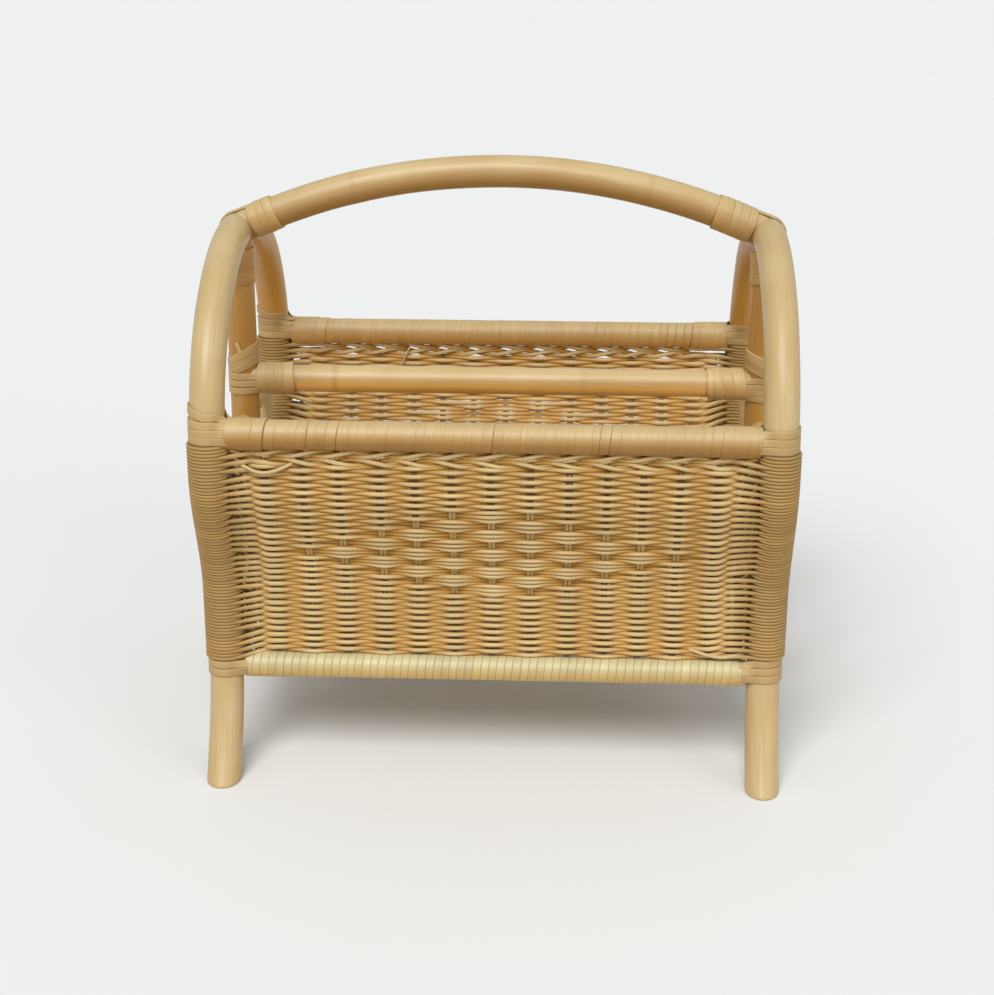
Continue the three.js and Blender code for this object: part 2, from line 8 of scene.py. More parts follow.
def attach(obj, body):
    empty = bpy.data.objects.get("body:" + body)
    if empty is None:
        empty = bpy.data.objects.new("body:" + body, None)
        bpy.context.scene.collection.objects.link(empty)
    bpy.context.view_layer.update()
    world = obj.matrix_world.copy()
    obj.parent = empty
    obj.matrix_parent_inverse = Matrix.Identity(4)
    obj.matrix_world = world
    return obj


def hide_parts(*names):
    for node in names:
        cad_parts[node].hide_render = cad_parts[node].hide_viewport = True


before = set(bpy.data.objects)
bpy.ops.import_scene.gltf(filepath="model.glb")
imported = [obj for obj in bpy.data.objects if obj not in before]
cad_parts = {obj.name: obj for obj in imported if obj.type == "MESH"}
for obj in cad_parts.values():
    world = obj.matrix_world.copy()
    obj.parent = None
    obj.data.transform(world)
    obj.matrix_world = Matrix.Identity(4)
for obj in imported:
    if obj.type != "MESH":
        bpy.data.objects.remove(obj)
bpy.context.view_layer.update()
scene = bpy.context.scene

# Lengths in this script are millimetres until a mesh is made.
mm = 0.001

# The basket's own sizes, as the frame has them. A reach is the distance of a leg's axis from
# the middle of the basket.
basket = {
    "length": 400.0,
    "footReach": 156.0,
    "waistReach": 120.5,
    "shoulderReach": 149.0,
    "flareHeight": 112.0,
    "flareBend": 2.2,  # higher flares later, closer to the floor
    "bellyStart": 140.0,
    "bellyHeight": 102.0,
    "springHeight": 262.0,
    "archHeight": 123.0,
    "topRailHeight": 268.0,
    "bottomRailHeight": 81.0,
    "handleRise": 45.0,
}
halfLength = basket["length"] / 2
crownHeight = basket["springHeight"] + basket["archHeight"]
sides = {"left": -1, "right": 1}
faces = {"front": -1, "rear": 1}
alongX, alongY, alongZ = Vector((1, 0, 0)), Vector((0, 1, 0)), Vector((0, 0, 1))


def ease(t):
    t = min(1.0, max(0.0, t))
    return t * t * (3 - 2 * t)


def mix(a, b, t):
    return a + (b - a) * t


# Even shares from 0 to 1.
def shares(count):
    return [i / count for i in range(count + 1)]


def reachAt(height):
    if height > basket["springHeight"]:
        climb = min(1.0, (height - basket["springHeight"]) / basket["archHeight"])
        return basket["shoulderReach"] * math.sqrt(1 - climb * climb)
    if height < basket["flareHeight"]:
        drop = (basket["flareHeight"] - height) / basket["flareHeight"]
        return mix(basket["waistReach"], basket["footReach"], drop ** basket["flareBend"])
    bulge = ease((height - basket["bellyStart"]) / basket["bellyHeight"])
    return mix(basket["waistReach"], basket["shoulderReach"], bulge)


# The panels run straight up past the spring of the arch.
def wallReach(height):
    return reachAt(min(height, basket["springHeight"]))


def leanAt(height):
    return (wallReach(height + 1) - wallReach(height - 1)) / 2


# How much longer a level cut across a leaning pole is than a square one.
def levelCut(lean):
    return math.sqrt(1 + lean * lean)


def linear(red, green, blue):
    def toLinear(channel):
        share = channel / 255
        return share / 12.92 if share <= 0.04045 else ((share + 0.055) / 1.055) ** 2.4

    return (toLinear(red), toLinear(green), toLinear(blue), 1.0)


# Adds a node at (x, y), as the next functions do.
def place(tree, kind, x, y, **settings):
    node = tree.nodes.new(kind)
    node.location = (x, y)
    for name, value in settings.items():
        setattr(node, name, value)
    return node


# Sets a number or a colour on a socket, or links another node's output to it.
def feed(tree, socket, value):
    if isinstance(value, (int, float, tuple)):
        socket.default_value = value
    else:
        tree.links.new(value, socket)


def calculate(tree, operation, x, y, *values):
    node = place(tree, "ShaderNodeMath", x, y, operation=operation)
    for socket, value in zip(node.inputs, values):
        feed(tree, socket, value)
    return node.outputs[0]


# Stretches what lies between low and high over the range from toLow to toHigh.
def remap(tree, x, y, value, low, high, toLow=0.0, toHigh=1.0, **settings):
    node = place(tree, "ShaderNodeMapRange", x, y, **settings)
    for socket, number in (("From Min", low), ("From Max", high), ("To Min", toLow), ("To Max", toHigh)):
        node.inputs[socket].default_value = number
    feed(tree, node.inputs["Value"], value)
    return node.outputs["Result"]


def clouds(tree, x, y, vector, scale, detail=2.0, roughness=0.5):
    node = place(tree, "ShaderNodeTexNoise", x, y)
    for socket, value in (("Vector", vector), ("Scale", scale), ("Detail", detail), ("Roughness", roughness)):
        feed(tree, node.inputs[socket], value)
    return node.outputs["Fac"]


def mixColors(tree, x, y, share, first, second, blend="MIX"):
    node = place(tree, "ShaderNodeMix", x, y, data_type="RGBA", blend_type=blend)
    feed(tree, node.inputs["Factor"], share)
    feed(tree, node.inputs[6], first)
    feed(tree, node.inputs[7], second)
    return node.outputs[2]


# Lengthwise streaks, pores and slow colour drift of cane. Vector holds the place across
# the pole in x and y and the length along it in z.
def caneGrainGroup():
    tree = bpy.data.node_groups.new("caneGrain", "ShaderNodeTree")
    sockets = tree.interface
    sockets.new_socket("Vector", in_out="INPUT", socket_type="NodeSocketVector")
    for name, value in (("Fineness", 2600.0), ("Stretch", 0.03), ("Drift Size", 26.0), ("Pores", 0.5)):
        sockets.new_socket(name, in_out="INPUT", socket_type="NodeSocketFloat").default_value = value
    for name in ("Streak", "Drift", "Height"):
        sockets.new_socket(name, in_out="OUTPUT", socket_type="NodeSocketFloat")
    start = place(tree, "NodeGroupInput", -900, 0)
    fineness = start.outputs["Fineness"]
    split = place(tree, "ShaderNodeSeparateXYZ", -700, 150)
    feed(tree, split.inputs[0], start.outputs["Vector"])
    join = place(tree, "ShaderNodeCombineXYZ", -340, 150)
    feed(tree, join.inputs["X"], split.outputs["X"])
    feed(tree, join.inputs["Y"], split.outputs["Y"])
    drawnOut = calculate(tree, "MULTIPLY", -520, 60, split.outputs["Z"], start.outputs["Stretch"])
    feed(tree, join.inputs["Z"], drawnOut)
    streaks = clouds(tree, -160, 220, join.outputs[0], fineness, detail=3.0, roughness=0.6)
    drift = clouds(tree, -160, -40, start.outputs["Vector"], start.outputs["Drift Size"])
    finer = calculate(tree, "MULTIPLY", -340, -280, fineness, 1.7)
    specks = clouds(tree, -160, -300, join.outputs[0], finer, detail=1.0)
    pores = remap(tree, 40, -300, specks, 0.62, 0.72)
    poreDepth = calculate(tree, "MULTIPLY", 220, -260, pores, start.outputs["Pores"])
    height = calculate(tree, "SUBTRACT", 400, 40, streaks, poreDepth)
    end = place(tree, "NodeGroupOutput", 600, 100)
    feed(tree, end.inputs["Streak"], streaks)
    feed(tree, end.inputs["Drift"], drift)
    feed(tree, end.inputs["Height"], height)
    return tree


caneGrain = caneGrainGroup()


# A cane finish: two colours by streak, a third by slow drift, a dark one by the piece's own
# stain attribute (real stains at the joints, painted shade on the stakes), and everything lighter or darker
# by the strand's own "tone", which also carries painted shade and painted bounce light. Where the
# painted-shade attribute is high, the cane takes the painted shade colour of its shaded sides, its hollows
# and the basket's inside.
def caneMaterial(name, look):
    material = bpy.data.materials.new(name)
    material.use_nodes = True
    tree = material.node_tree
    shader = tree.nodes["Principled BSDF"]
    shader.inputs["Coat Weight"].default_value = look["coat"]
    shader.inputs["Coat Roughness"].default_value = look["coatRoughness"]
    shader.inputs["Specular IOR Level"].default_value = look["specular"]
    own = {
        key: place(tree, "ShaderNodeAttribute", -1400, y, attribute_name=key).outputs
        for key, y in (("paintedShade", 480), ("section", 200), ("stainAndShade", -100), ("tone", -300))
    }
    spot = place(tree, "ShaderNodeTexCoord", -1400, -500)
    grain = place(tree, "ShaderNodeGroup", -1180, 200, node_tree=caneGrain)
    feed(tree, grain.inputs["Vector"], own["section"]["Vector"])
    for socket, key in (
        ("Fineness", "fineness"), ("Stretch", "stretch"), ("Drift Size", "driftSize"), ("Pores", "pores"),
    ):
        grain.inputs[socket].default_value = look[key]
    streak = remap(tree, -960, 320, grain.outputs["Streak"], 0.3, 0.7)
    grained = mixColors(tree, -760, 320, streak, look["dark"], look["light"])
    drift = remap(tree, -960, 60, grain.outputs["Drift"], 0.35, 0.75, toHigh=look["drift"])
    drifted = mixColors(tree, -560, 240, drift, grained, look["warm"])
    blotches = clouds(tree, -1180, -480, spot.outputs["Object"], look["blotchScale"])
    level = calculate(tree, "MULTIPLY_ADD", -960, -360, blotches, look["blotch"], own["tone"]["Fac"])
    brightness = calculate(tree, "ADD", -760, -360, level, 1 - look["blotch"] / 2)
    scaled = place(tree, "ShaderNodeVectorMath", -360, 160, operation="SCALE")
    feed(tree, scaled.inputs[0], drifted)
    feed(tree, scaled.inputs["Scale"], brightness)
    # Painted shade: the tint of shaded sides, hollows and the basket's inside.
    shadeTinted = mixColors(tree, -360, 400, own["paintedShade"]["Fac"], scaled.outputs[0], look["paintedShade"], "MULTIPLY")
    stainedAndShaded = mixColors(tree, -180, 160, own["stainAndShade"]["Fac"], shadeTinted, look["stainAndShade"])
    feed(tree, shader.inputs["Base Color"], stainedAndShaded)
    rough, smooth = look["roughness"] + 0.08, look["roughness"] - 0.05
    roughness = remap(tree, -560, -60, grain.outputs["Streak"], 0.0, 1.0, rough, smooth)
    feed(tree, shader.inputs["Roughness"], roughness)
    bump = place(tree, "ShaderNodeBump", -360, -240)
    bump.inputs["Strength"].default_value = look["bump"]
    bump.inputs["Distance"].default_value = look["bumpDepth"]
    feed(tree, bump.inputs["Height"], grain.outputs["Height"])
    feed(tree, shader.inputs["Normal"], bump.outputs["Normal"])
    return material


poleLook = {
    "light": linear(198, 178, 134),
    "dark": linear(185, 157, 104),
    "warm": linear(178, 142, 86),
    "stainAndShade": linear(96, 58, 28),
    "paintedShade": (0.88, 0.58, 0.2, 1.0),
    "fineness": 1300.0,
    "stretch": 0.02,
    "driftSize": 22.0,
    "drift": 0.5,
    "pores": 0.25,
    "blotchScale": 14.0,
    "blotch": 0.14,
    "roughness": 0.42,
    "coat": 0.2,
    "coatRoughness": 0.3,
    "specular": 0.4,
    "bump": 0.22,
    "bumpDepth": 0.0002,
}
reedLook = {
    "light": linear(214, 194, 147),
    "dark": linear(187, 157, 103),
    "warm": linear(192, 159, 101),
    "stainAndShade": linear(62, 34, 15),
    "paintedShade": (0.74, 0.5, 0.16, 1.0),
    "fineness": 2400.0,
    "stretch": 0.015,
    "driftSize": 40.0,
    "drift": 0.5,
    "pores": 0.4,
    "blotchScale": 22.0,
    "blotch": 0.16,
    "roughness": 0.56,
    "coat": 0.04,
    "coatRoughness": 0.4,
    "specular": 0.35,
    "bump": 0.35,
    "bumpDepth": 0.00015,
}
peelLook = {
    "light": linear(198, 177, 132),
    "dark": linear(184, 154, 100),
    "warm": linear(178, 140, 84),
    "stainAndShade": linear(86, 52, 26),
    "paintedShade": (0.88, 0.6, 0.24, 1.0),
    "fineness": 1900.0,
    "stretch": 0.015,
    "driftSize": 30.0,
    "drift": 0.5,
    "pores": 0.3,
    "blotchScale": 26.0,
    "blotch": 0.2,
    "roughness": 0.44,
    "coat": 0.1,
    "coatRoughness": 0.28,
    "specular": 0.4,
    "bump": 0.3,
    "bumpDepth": 0.00015,
}
rattanPole = caneMaterial("rattanPole", poleLook)
coreReed = caneMaterial("coreReed", reedLook)
rattanPeel = caneMaterial("rattanPeel", peelLook)
palePeel = caneMaterial("palePeel", {
    **peelLook,
    "light": linear(202, 195, 156),
    "dark": linear(192, 178, 130),
    "warm": linear(186, 162, 106),
})

screwLook = {
    "dull": linear(128, 124, 118),
    "bright": linear(176, 173, 168),
    "smooth": 0.28,
    "rough": 0.5,
    "scratchScale": 900.0,
}


def steelMaterial(look):
    material = bpy.data.materials.new("screwSteel")
    material.use_nodes = True
    tree = material.node_tree
    shader = tree.nodes["Principled BSDF"]
    shader.inputs["Metallic"].default_value = 1.0
    spot = place(tree, "ShaderNodeTexCoord", -800, 0)
    scratches = clouds(tree, -600, 0, spot.outputs["Object"], look["scratchScale"], detail=3.0)
    colored = mixColors(tree, -400, 120, scratches, look["dull"], look["bright"])
    feed(tree, shader.inputs["Base Color"], colored)
    roughness = remap(tree, -400, -160, scratches, 0.0, 1.0, look["smooth"], look["rough"])
    feed(tree, shader.inputs["Roughness"], roughness)
    return material


screwSteel = steelMaterial(screwLook)
print("materials ready")

# The side that the light comes from. Cane on the far side of a pole gets painted shade, from one
# cosine to the other, and "dim" is how much duller the painted shade makes it there.
lightSide = Vector((-0.1, -0.25, 0.96)).normalized()
paintedShading = {"from": 0.92, "to": -0.1, "dim": 0.24, "share": 0.8}


def paintedSideShade(out):
    away = paintedShading["from"] - out.normalized().dot(lightSide)
    return ease(away / (paintedShading["from"] - paintedShading["to"]))


# Values of a mesh's own, one for each of its points.
def setVectors(mesh, name, values):
    layer = mesh.attributes.new(name, "FLOAT_VECTOR", "POINT")
    layer.data.foreach_set("vector", [part for value in values for part in value])


def setNumbers(mesh, name, values):
    layer = mesh.attributes.new(name, "FLOAT", "POINT")
    layer.data.foreach_set("value", values)


# The basket is one body, so every piece rides on its root and stands for its CAD nodes.
def finishPiece(piece, nodes):
    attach(piece, "root")
    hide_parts(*nodes)


# Skins rings of points into a closed body. A ring is (centre, across, up, size): its points
# lie at centre + radius * size * (across * cos + up * sin), but for the cane's own waves and
# the swellings at its joints.
def skinPole(name, rings, shape, nodes, material):
    count = shape["sides"]
    radius = shape["radius"]
    seed = shape["seed"]
    lengths = [0.0]
    for before, after in zip(rings, rings[1:]):
        lengths.append(lengths[-1] + (after[0] - before[0]).length)
    spots, section, stainsAndShades, paintedShades, tones = [], [], [], [], []
    for (centre, across, up, size), length in zip(rings, lengths):
        inner = shape["paintedShadeAt"](centre)
        swell, stain = 0.0, 0.0
        for joint, strength in shape["joints"]:
            ridge = math.exp(-(((length - joint) / shape["ridgeRun"]) ** 2))
            groove = math.exp(-(((length - joint) / shape["grooveRun"]) ** 2))
            swell += strength * (shape["swell"] * ridge - shape["swell"] * groove)
            stain += strength * shape["stain"] * math.exp(-((length - joint) ** 2))
        for k in range(count):
            angle = 2 * math.pi * k / count
            cos, sin = math.cos(angle), math.sin(angle)
            wave = noise.noise(Vector((length / shape["waveRun"], cos * 0.7 + seed * 7.3, sin * 0.7)))
            bulge = size * (1 + swell + wave * shape["waviness"])
            spots.append((centre + (across * cos + up * sin) * radius * bulge) * mm)
            section.append((radius * cos * mm + seed, radius * sin * mm, length * mm))
            stainsAndShades.append(min(1.0, stain))
            # Painted shade on the side away from the light, with its tint, and painted bounce light on the
            # lowest side and inside the basket.
            shade = shape["shaded"] * paintedSideShade(across * cos + up * sin)
            paintedShades.append(min(1.0, inner + shade * paintedShading["share"]))
            lift = shape["glow"] * shade**3 + inner * shape["innerLift"]
            tones.append(shape["tone"] - paintedShading["dim"] * shade + lift)
    bands = []
    for i in range(len(rings) - 1):
        for k in range(count):
            here, beside = count * i + k, count * i + (k + 1) % count
            bands.append((here, beside, beside + count, here + count))
    last = count * (len(rings) - 1)
    bands.append(tuple(range(count - 1, -1, -1)))
    bands.append(tuple(range(last, last + count)))
    mesh = bpy.data.meshes.new(name)
    mesh.from_pydata(spots, [], bands)
    if signedVolume(mesh) < 0:
        mesh.flip_normals()
    setVectors(mesh, "section", section)
    setNumbers(mesh, "stainAndShade", stainsAndShades)
    setNumbers(mesh, "paintedShade", paintedShades)
    setNumbers(mesh, "tone", tones)
    mesh.shade_smooth()
    mesh.materials.append(material)
    piece = bpy.data.objects.new(name, mesh)
    scene.collection.objects.link(piece)
    finishPiece(piece, nodes)


def signedVolume(mesh):
    mesh.calc_loop_triangles()
    total = 0.0
    for triangle in mesh.loop_triangles:
        a, b, c = (mesh.vertices[i].co for i in triangle.vertices)
        total += a.dot(b.cross(c))
    return total / 6


# A strand's own value by name, and its twin that writes one back.
def ownValue(tree, x, y, name, kind="FLOAT"):
    node = place(tree, "GeometryNodeInputNamedAttribute", x, y, data_type=kind)
    node.inputs["Name"].default_value = name
    return node.outputs["Attribute"]


def storeValue(tree, x, y, name, geometry, value, kind="FLOAT"):
    node = place(tree, "GeometryNodeStoreNamedAttribute", x, y, data_type=kind, domain="POINT")
    node.inputs["Name"].default_value = name
    feed(tree, node.inputs["Geometry"], geometry)
    feed(tree, node.inputs["Value"], value)
    return node.outputs["Geometry"]


# How much a swept surface faces away from the light.
def sweptShade(tree, start, y):
    normal = place(tree, "GeometryNodeInputNormal", -1000, y)
    facing = place(tree, "ShaderNodeVectorMath", -820, y, operation="DOT_PRODUCT")
    facing.inputs[1].default_value = lightSide
    feed(tree, facing.inputs[0], normal.outputs[0])
    low, high = paintedShading["from"], paintedShading["to"]
    shade = remap(tree, -640, y, facing.outputs["Value"], low, high, interpolation_type="SMOOTHSTEP")
    return calculate(tree, "MULTIPLY", -460, y, shade, start.outputs["Shaded"])


# Tone of a swept strand: its own, less with painted shade on the side away from the light, and more with
# painted bounce light where light comes back from below.
def sweptTone(tree, start):
    own = ownValue(tree, -460, -1760, "tone")
    shade = sweptShade(tree, start, -1700)
    less = calculate(tree, "MULTIPLY", -280, -1700, shade, paintedShading["dim"])
    cube = calculate(tree, "POWER", -280, -1900, shade, 3.0)
    glow = calculate(tree, "MULTIPLY", -100, -1900, cube, start.outputs["Glow"])
    dimmed = calculate(tree, "SUBTRACT", -100, -1700, own, less)
    return calculate(tree, "ADD", 80, -1700, dimmed, glow)


# Painted shade of a swept strand: its own, more on the side away from the light, and more the
# closer its surface lies to the middle of the weave, where shade falls between the strands. "bed" is how far
# the strand's path lies from there and "spine" the path itself.
def sweptPaintedShade(tree, start):
    shaded = calculate(tree, "MULTIPLY", -300, -900, sweptShade(tree, start, -900), paintedShading["share"])
    here = place(tree, "GeometryNodeInputPosition", -1180, -1200)
    offset = place(tree, "ShaderNodeVectorMath", -1000, -1200, operation="SUBTRACT")
    feed(tree, offset.inputs[0], here.outputs[0])
    feed(tree, offset.inputs[1], ownValue(tree, -1180, -1300, "spine", "FLOAT_VECTOR"))
    parts = place(tree, "ShaderNodeSeparateXYZ", -820, -1200)
    feed(tree, parts.inputs[0], offset.outputs["Vector"])
    bed = ownValue(tree, -1180, -1460, "bed")
    away = calculate(tree, "ADD", -640, -1200, parts.outputs["Y"], bed)
    away = calculate(tree, "ABSOLUTE", -500, -1200, away)
    away = calculate(tree, "DIVIDE", -360, -1200, away, start.outputs["Relief"])
    sunk = remap(tree, -200, -1200, away, 0.95, 0.15, interpolation_type="SMOOTHSTEP")
    hollowShade = calculate(tree, "MULTIPLY", -40, -1200, sunk, start.outputs["Hollow Shade"])
    own = calculate(tree, "ADD", -120, -1000, shaded, ownValue(tree, -460, -1060, "paintedShade"))
    total = calculate(tree, "ADD", 60, -1000, own, hollowShade)
    return calculate(tree, "MINIMUM", 200, -1000, total, 1.0)


# Sweeps a profile along every strand of a wire mesh and gives it its finish.
def curveGroup(name, makeProfile):
    tree = bpy.data.node_groups.new(name, "GeometryNodeTree")
    sockets = tree.interface
    for socket, kind in (
        ("Geometry", "Geometry"), ("Material", "Material"), ("Width", "Float"), ("Thickness", "Float"),
        ("Facets", "Int"), ("Shaded", "Float"), ("Hollow Shade", "Float"), ("Relief", "Float"), ("Glow", "Float"),
    ):
        sockets.new_socket(socket, in_out="INPUT", socket_type=f"NodeSocket{kind}")
    sockets.new_socket("Geometry", in_out="OUTPUT", socket_type="NodeSocketGeometry")
    start = place(tree, "NodeGroupInput", -1400, 0)
    paths = place(tree, "GeometryNodeMeshToCurve", -1200, 200)
    feed(tree, paths.inputs["Mesh"], start.outputs["Geometry"])
    turned = place(tree, "GeometryNodeSetCurveNormal", -1000, 200, mode="FREE")
    feed(tree, turned.inputs["Curve"], paths.outputs["Curve"])
    feed(tree, turned.inputs["Normal"], ownValue(tree, -1200, 0, "outward", "FLOAT_VECTOR"))
    along = place(tree, "GeometryNodeSplineParameter", -1000, 0)
    kept = place(tree, "GeometryNodeCaptureAttribute", -800, 200)
    kept.capture_items.new("FLOAT", "Length")
    feed(tree, kept.inputs["Geometry"], turned.outputs["Curve"])
    feed(tree, kept.inputs["Length"], along.outputs["Length"])
    profile, profilePlace = makeProfile(tree, start)
    swept = place(tree, "GeometryNodeCurveToMesh", -400, 200)
    swept.inputs["Fill Caps"].default_value = True
    feed(tree, swept.inputs["Curve"], kept.outputs["Geometry"])
    feed(tree, swept.inputs["Profile Curve"], profile)
    feed(tree, swept.inputs["Scale"], ownValue(tree, -800, -50, "scale"))
    apart = place(tree, "ShaderNodeSeparateXYZ", -400, -50)
    feed(tree, apart.inputs[0], profilePlace)
    join = place(tree, "ShaderNodeCombineXYZ", -220, -50)
    feed(tree, join.inputs["X"], apart.outputs["X"])
    feed(tree, join.inputs["Y"], apart.outputs["Y"])
    feed(tree, join.inputs["Z"], kept.outputs["Length"])
    body = storeValue(tree, -40, 200, "section", swept.outputs["Mesh"], join.outputs[0], "FLOAT_VECTOR")
    # Painted shade tint and painted shade and bounce light in the tone, stored for the finish.
    body = storeValue(tree, 60, 200, "paintedShade", body, sweptPaintedShade(tree, start))
    body = storeValue(tree, 130, 400, "tone", body, sweptTone(tree, start))
    smooth = place(tree, "GeometryNodeSetShadeSmooth", 200, 200)
    feed(tree, smooth.inputs["Geometry"], body)
    real = place(tree, "GeometryNodeRealizeInstances", 340, 200)
    feed(tree, real.inputs["Geometry"], smooth.outputs["Geometry"])
    finish = place(tree, "GeometryNodeSetMaterial", 520, 200)
    feed(tree, finish.inputs["Geometry"], real.outputs["Geometry"])
    feed(tree, finish.inputs["Material"], start.outputs["Material"])
    end = place(tree, "NodeGroupOutput", 720, 200)
    feed(tree, end.inputs["Geometry"], finish.outputs["Geometry"])
    return tree


# A profile with its own points kept, so that the grain knows the place across the strand.
def keepPlaces(tree, x, y, curve):
    spot = place(tree, "GeometryNodeInputPosition", x, y - 150)
    kept = place(tree, "GeometryNodeCaptureAttribute", x + 200, y)
    kept.capture_items.new("VECTOR", "Place")
    feed(tree, kept.inputs["Geometry"], curve)
    feed(tree, kept.inputs["Place"], spot.outputs[0])
    return kept.outputs["Geometry"], kept.outputs["Place"]


def roundProfile(tree, start):
    ring = place(tree, "GeometryNodeCurvePrimitiveCircle", -1200, -300)
    radius = calculate(tree, "MULTIPLY", -1380, -400, start.outputs["Width"], 0.5)
    feed(tree, ring.inputs["Radius"], radius)
    feed(tree, ring.inputs["Resolution"], start.outputs["Facets"])
    return keepPlaces(tree, -1000, -300, ring.outputs["Curve"])


# A flat strip with a crowned face and soft edges: a circle squared off across its width.
def stripProfile(tree, start):
    ring = place(tree, "GeometryNodeCurvePrimitiveCircle", -2100, -300)
    ring.inputs["Radius"].default_value = 1.0
    feed(tree, ring.inputs["Resolution"], start.outputs["Facets"])
    spot = place(tree, "GeometryNodeInputPosition", -2100, -520)
    parts = place(tree, "ShaderNodeSeparateXYZ", -1920, -520)
    feed(tree, parts.inputs[0], spot.outputs[0])
    join = place(tree, "ShaderNodeCombineXYZ", -1020, -520)
    for axis, power, size in (("X", 0.3, "Thickness"), ("Y", 0.5, "Width")):
        value = parts.outputs[axis]
        amount = calculate(tree, "ABSOLUTE", -1740, -520, value)
        raised = calculate(tree, "POWER", -1560, -520, amount, power)
        sign = calculate(tree, "SIGN", -1560, -680, value)
        signed = calculate(tree, "MULTIPLY", -1380, -520, raised, sign)
        half = calculate(tree, "MULTIPLY", -1380, -680, start.outputs[size], 0.5)
        feed(tree, join.inputs[axis], calculate(tree, "MULTIPLY", -1200, -520, signed, half))
    moved = place(tree, "GeometryNodeSetPosition", -900, -300)
    feed(tree, moved.inputs["Geometry"], ring.outputs["Curve"])
    feed(tree, moved.inputs["Position"], join.outputs[0])
    return keepPlaces(tree, -900, -300, moved.outputs["Geometry"])


sweepReed = curveGroup("sweepReed", roundProfile)
sweepPeel = curveGroup("sweepPeel", stripProfile)

# The "bed" of a strand that lies nowhere near the middle of the weave, so gets no painted shade in hollows.
farAway = 90.0


# A strand is {"spots": points, "outward": directions, "scale": sizes, "tone": lightness,
# "stainAndShade": darkness by stains and painted shade, "paintedShade": amount of painted shade tint, "bed":
# distance of its path from the middle of the weave};
# single numbers stand for the whole strand.
def strand(spots, tone=0.0, stainAndShade=0.0, scale=1.0, outward=None, bed=farAway, paintedShade=0.0):
    count = len(spots)

    def full(value):
        return list(value) if isinstance(value, (list, tuple)) else [value] * count

    return {
        "spots": spots,
        "bed": full(bed),
        "paintedShade": full(paintedShade),
        "outward": outward or [alongZ] * count,
        "scale": full(scale),
        "tone": full(tone),
        "stainAndShade": full(stainAndShade),
    }


# Makes one piece of many strands: their paths become a wire mesh, which the tree sweeps.
def sweepStrands(name, strands, tree, sizes, nodes, material):
    spots, edges = [], []
    for piece in strands:
        first = len(spots)
        spots += [spot * mm for spot in piece["spots"]]
        edges += [(first + i, first + i + 1) for i in range(len(piece["spots"]) - 1)]
    wire = bpy.data.meshes.new(name + "_path")
    wire.from_pydata(spots, edges, [])
    setVectors(wire, "outward", [value for piece in strands for value in piece["outward"]])
    setVectors(wire, "spine", spots)
    setNumbers(wire, "bed", [value * mm for piece in strands for value in piece["bed"]])
    for key in ("scale", "tone", "stainAndShade", "paintedShade"):
        setNumbers(wire, key, [value for piece in strands for value in piece[key]])
    thing = bpy.data.objects.new(name, wire)
    scene.collection.objects.link(thing)
    modifier = thing.modifiers.new(tree.name, "NODES")
    modifier.node_group = tree
    given = {
        "Material": material,
        "Width": sizes["width"] * mm,
        "Thickness": sizes.get("thickness", 0) * mm,
        "Facets": sizes["facets"],
        "Shaded": sizes.get("shaded", 0.0),
        "Hollow Shade": sizes.get("hollowShade", 0.0),
        "Relief": sizes.get("relief", 4.0) * mm,
        "Glow": sizes.get("glow", 0.0),
    }
    for item in tree.interface.items_tree:
        if item.in_out == "INPUT" and item.name in given:
            modifier[item.identifier] = given[item.name]
    view = bpy.context.evaluated_depsgraph_get()
    swept = bpy.data.meshes.new_from_object(
        thing.evaluated_get(view), preserve_all_data_layers=True, depsgraph=view
    )
    thing.modifiers.clear()
    thing.data = swept
    swept.name = name
    bpy.data.meshes.remove(wire)
    if signedVolume(swept) < 0:
        swept.flip_normals()
    finishPiece(thing, nodes)


# Rings across a path, turned as little as possible from one to the next.
def ringsAlong(points, first):
    rings = []
    across = first.copy()
    for i, point in enumerate(points):
        tangent = (points[min(i + 1, len(points) - 1)] - points[max(i - 1, 0)]).normalized()
        across = (across - tangent * across.dot(tangent)).normalized()
        rings.append((point, across.copy(), tangent.cross(across), 1.0))
    return rings


# Points from start to end, about a step apart.
def straightPoints(start, end, step=4.0):
    count = max(2, round((end - start).length / step))
    return [start.lerp(end, t) for t in shares(count)]


# The poles. A joint is (length from the pole's start, strength).
poles = {
    "hoop": {"radius": 12.5, "joints": [(892, 0.5)], "seed": 1},
    "handle": {"radius": 12.0, "joints": [(96, 0.3), (318, 0.3)], "seed": 2},
    "post": {"radius": 11.0, "joints": [(150, 0.4)], "seed": 3},
    "centerRail": {"radius": 10.5, "joints": [(72, 0.7), (265, 0.8)], "seed": 4},
    "topRail": {"radius": 9.25, "joints": [], "seed": 5},
    "bottomRail": {"radius": 8.25, "joints": [], "seed": 6},
    "stretcher": {"radius": 9.0, "joints": [(96, 0.7)], "seed": 7},
    "centerFootRail": {"radius": 8.0, "joints": [(130, 0.6), (310, 0.6)], "seed": 8},
    "brace": {"radius": 6.0, "joints": [(70, 0.6)], "seed": 9},
}
poleFinish = {
    "sides": 28,
    "waviness": 0.022,
    "waveRun": 55.0,
    "swell": 0.05,
    "ridgeRun": 5.5,
    "grooveRun": 1.1,
    "stain": 0.33,
}
poleCuts = {
    "footRound": 2.2,
    "step": 3.0,
    "archSteps": 150,
    "handleSteps": 130,
    "postRise": 4.5,
    "footRailReach": 199.0,
    "footRailHeight": 82.45,
}
# How much painted shade each pole gets all round, for the shade inside the basket, and how much painted
# bounce light comes back as lightness there. A hoop gets it only behind the posts, beyond innerStart: (place,
# run over which it grows).
innerPaintedShade = {"hoop": 0.95, "post": 0.9, "topRail": 0.3, "stretcher": 0.6}
innerLift = {"hoop": 0.2}
innerStart = {"y": (5.0, 70.0), "z": (240.0, 40.0)}
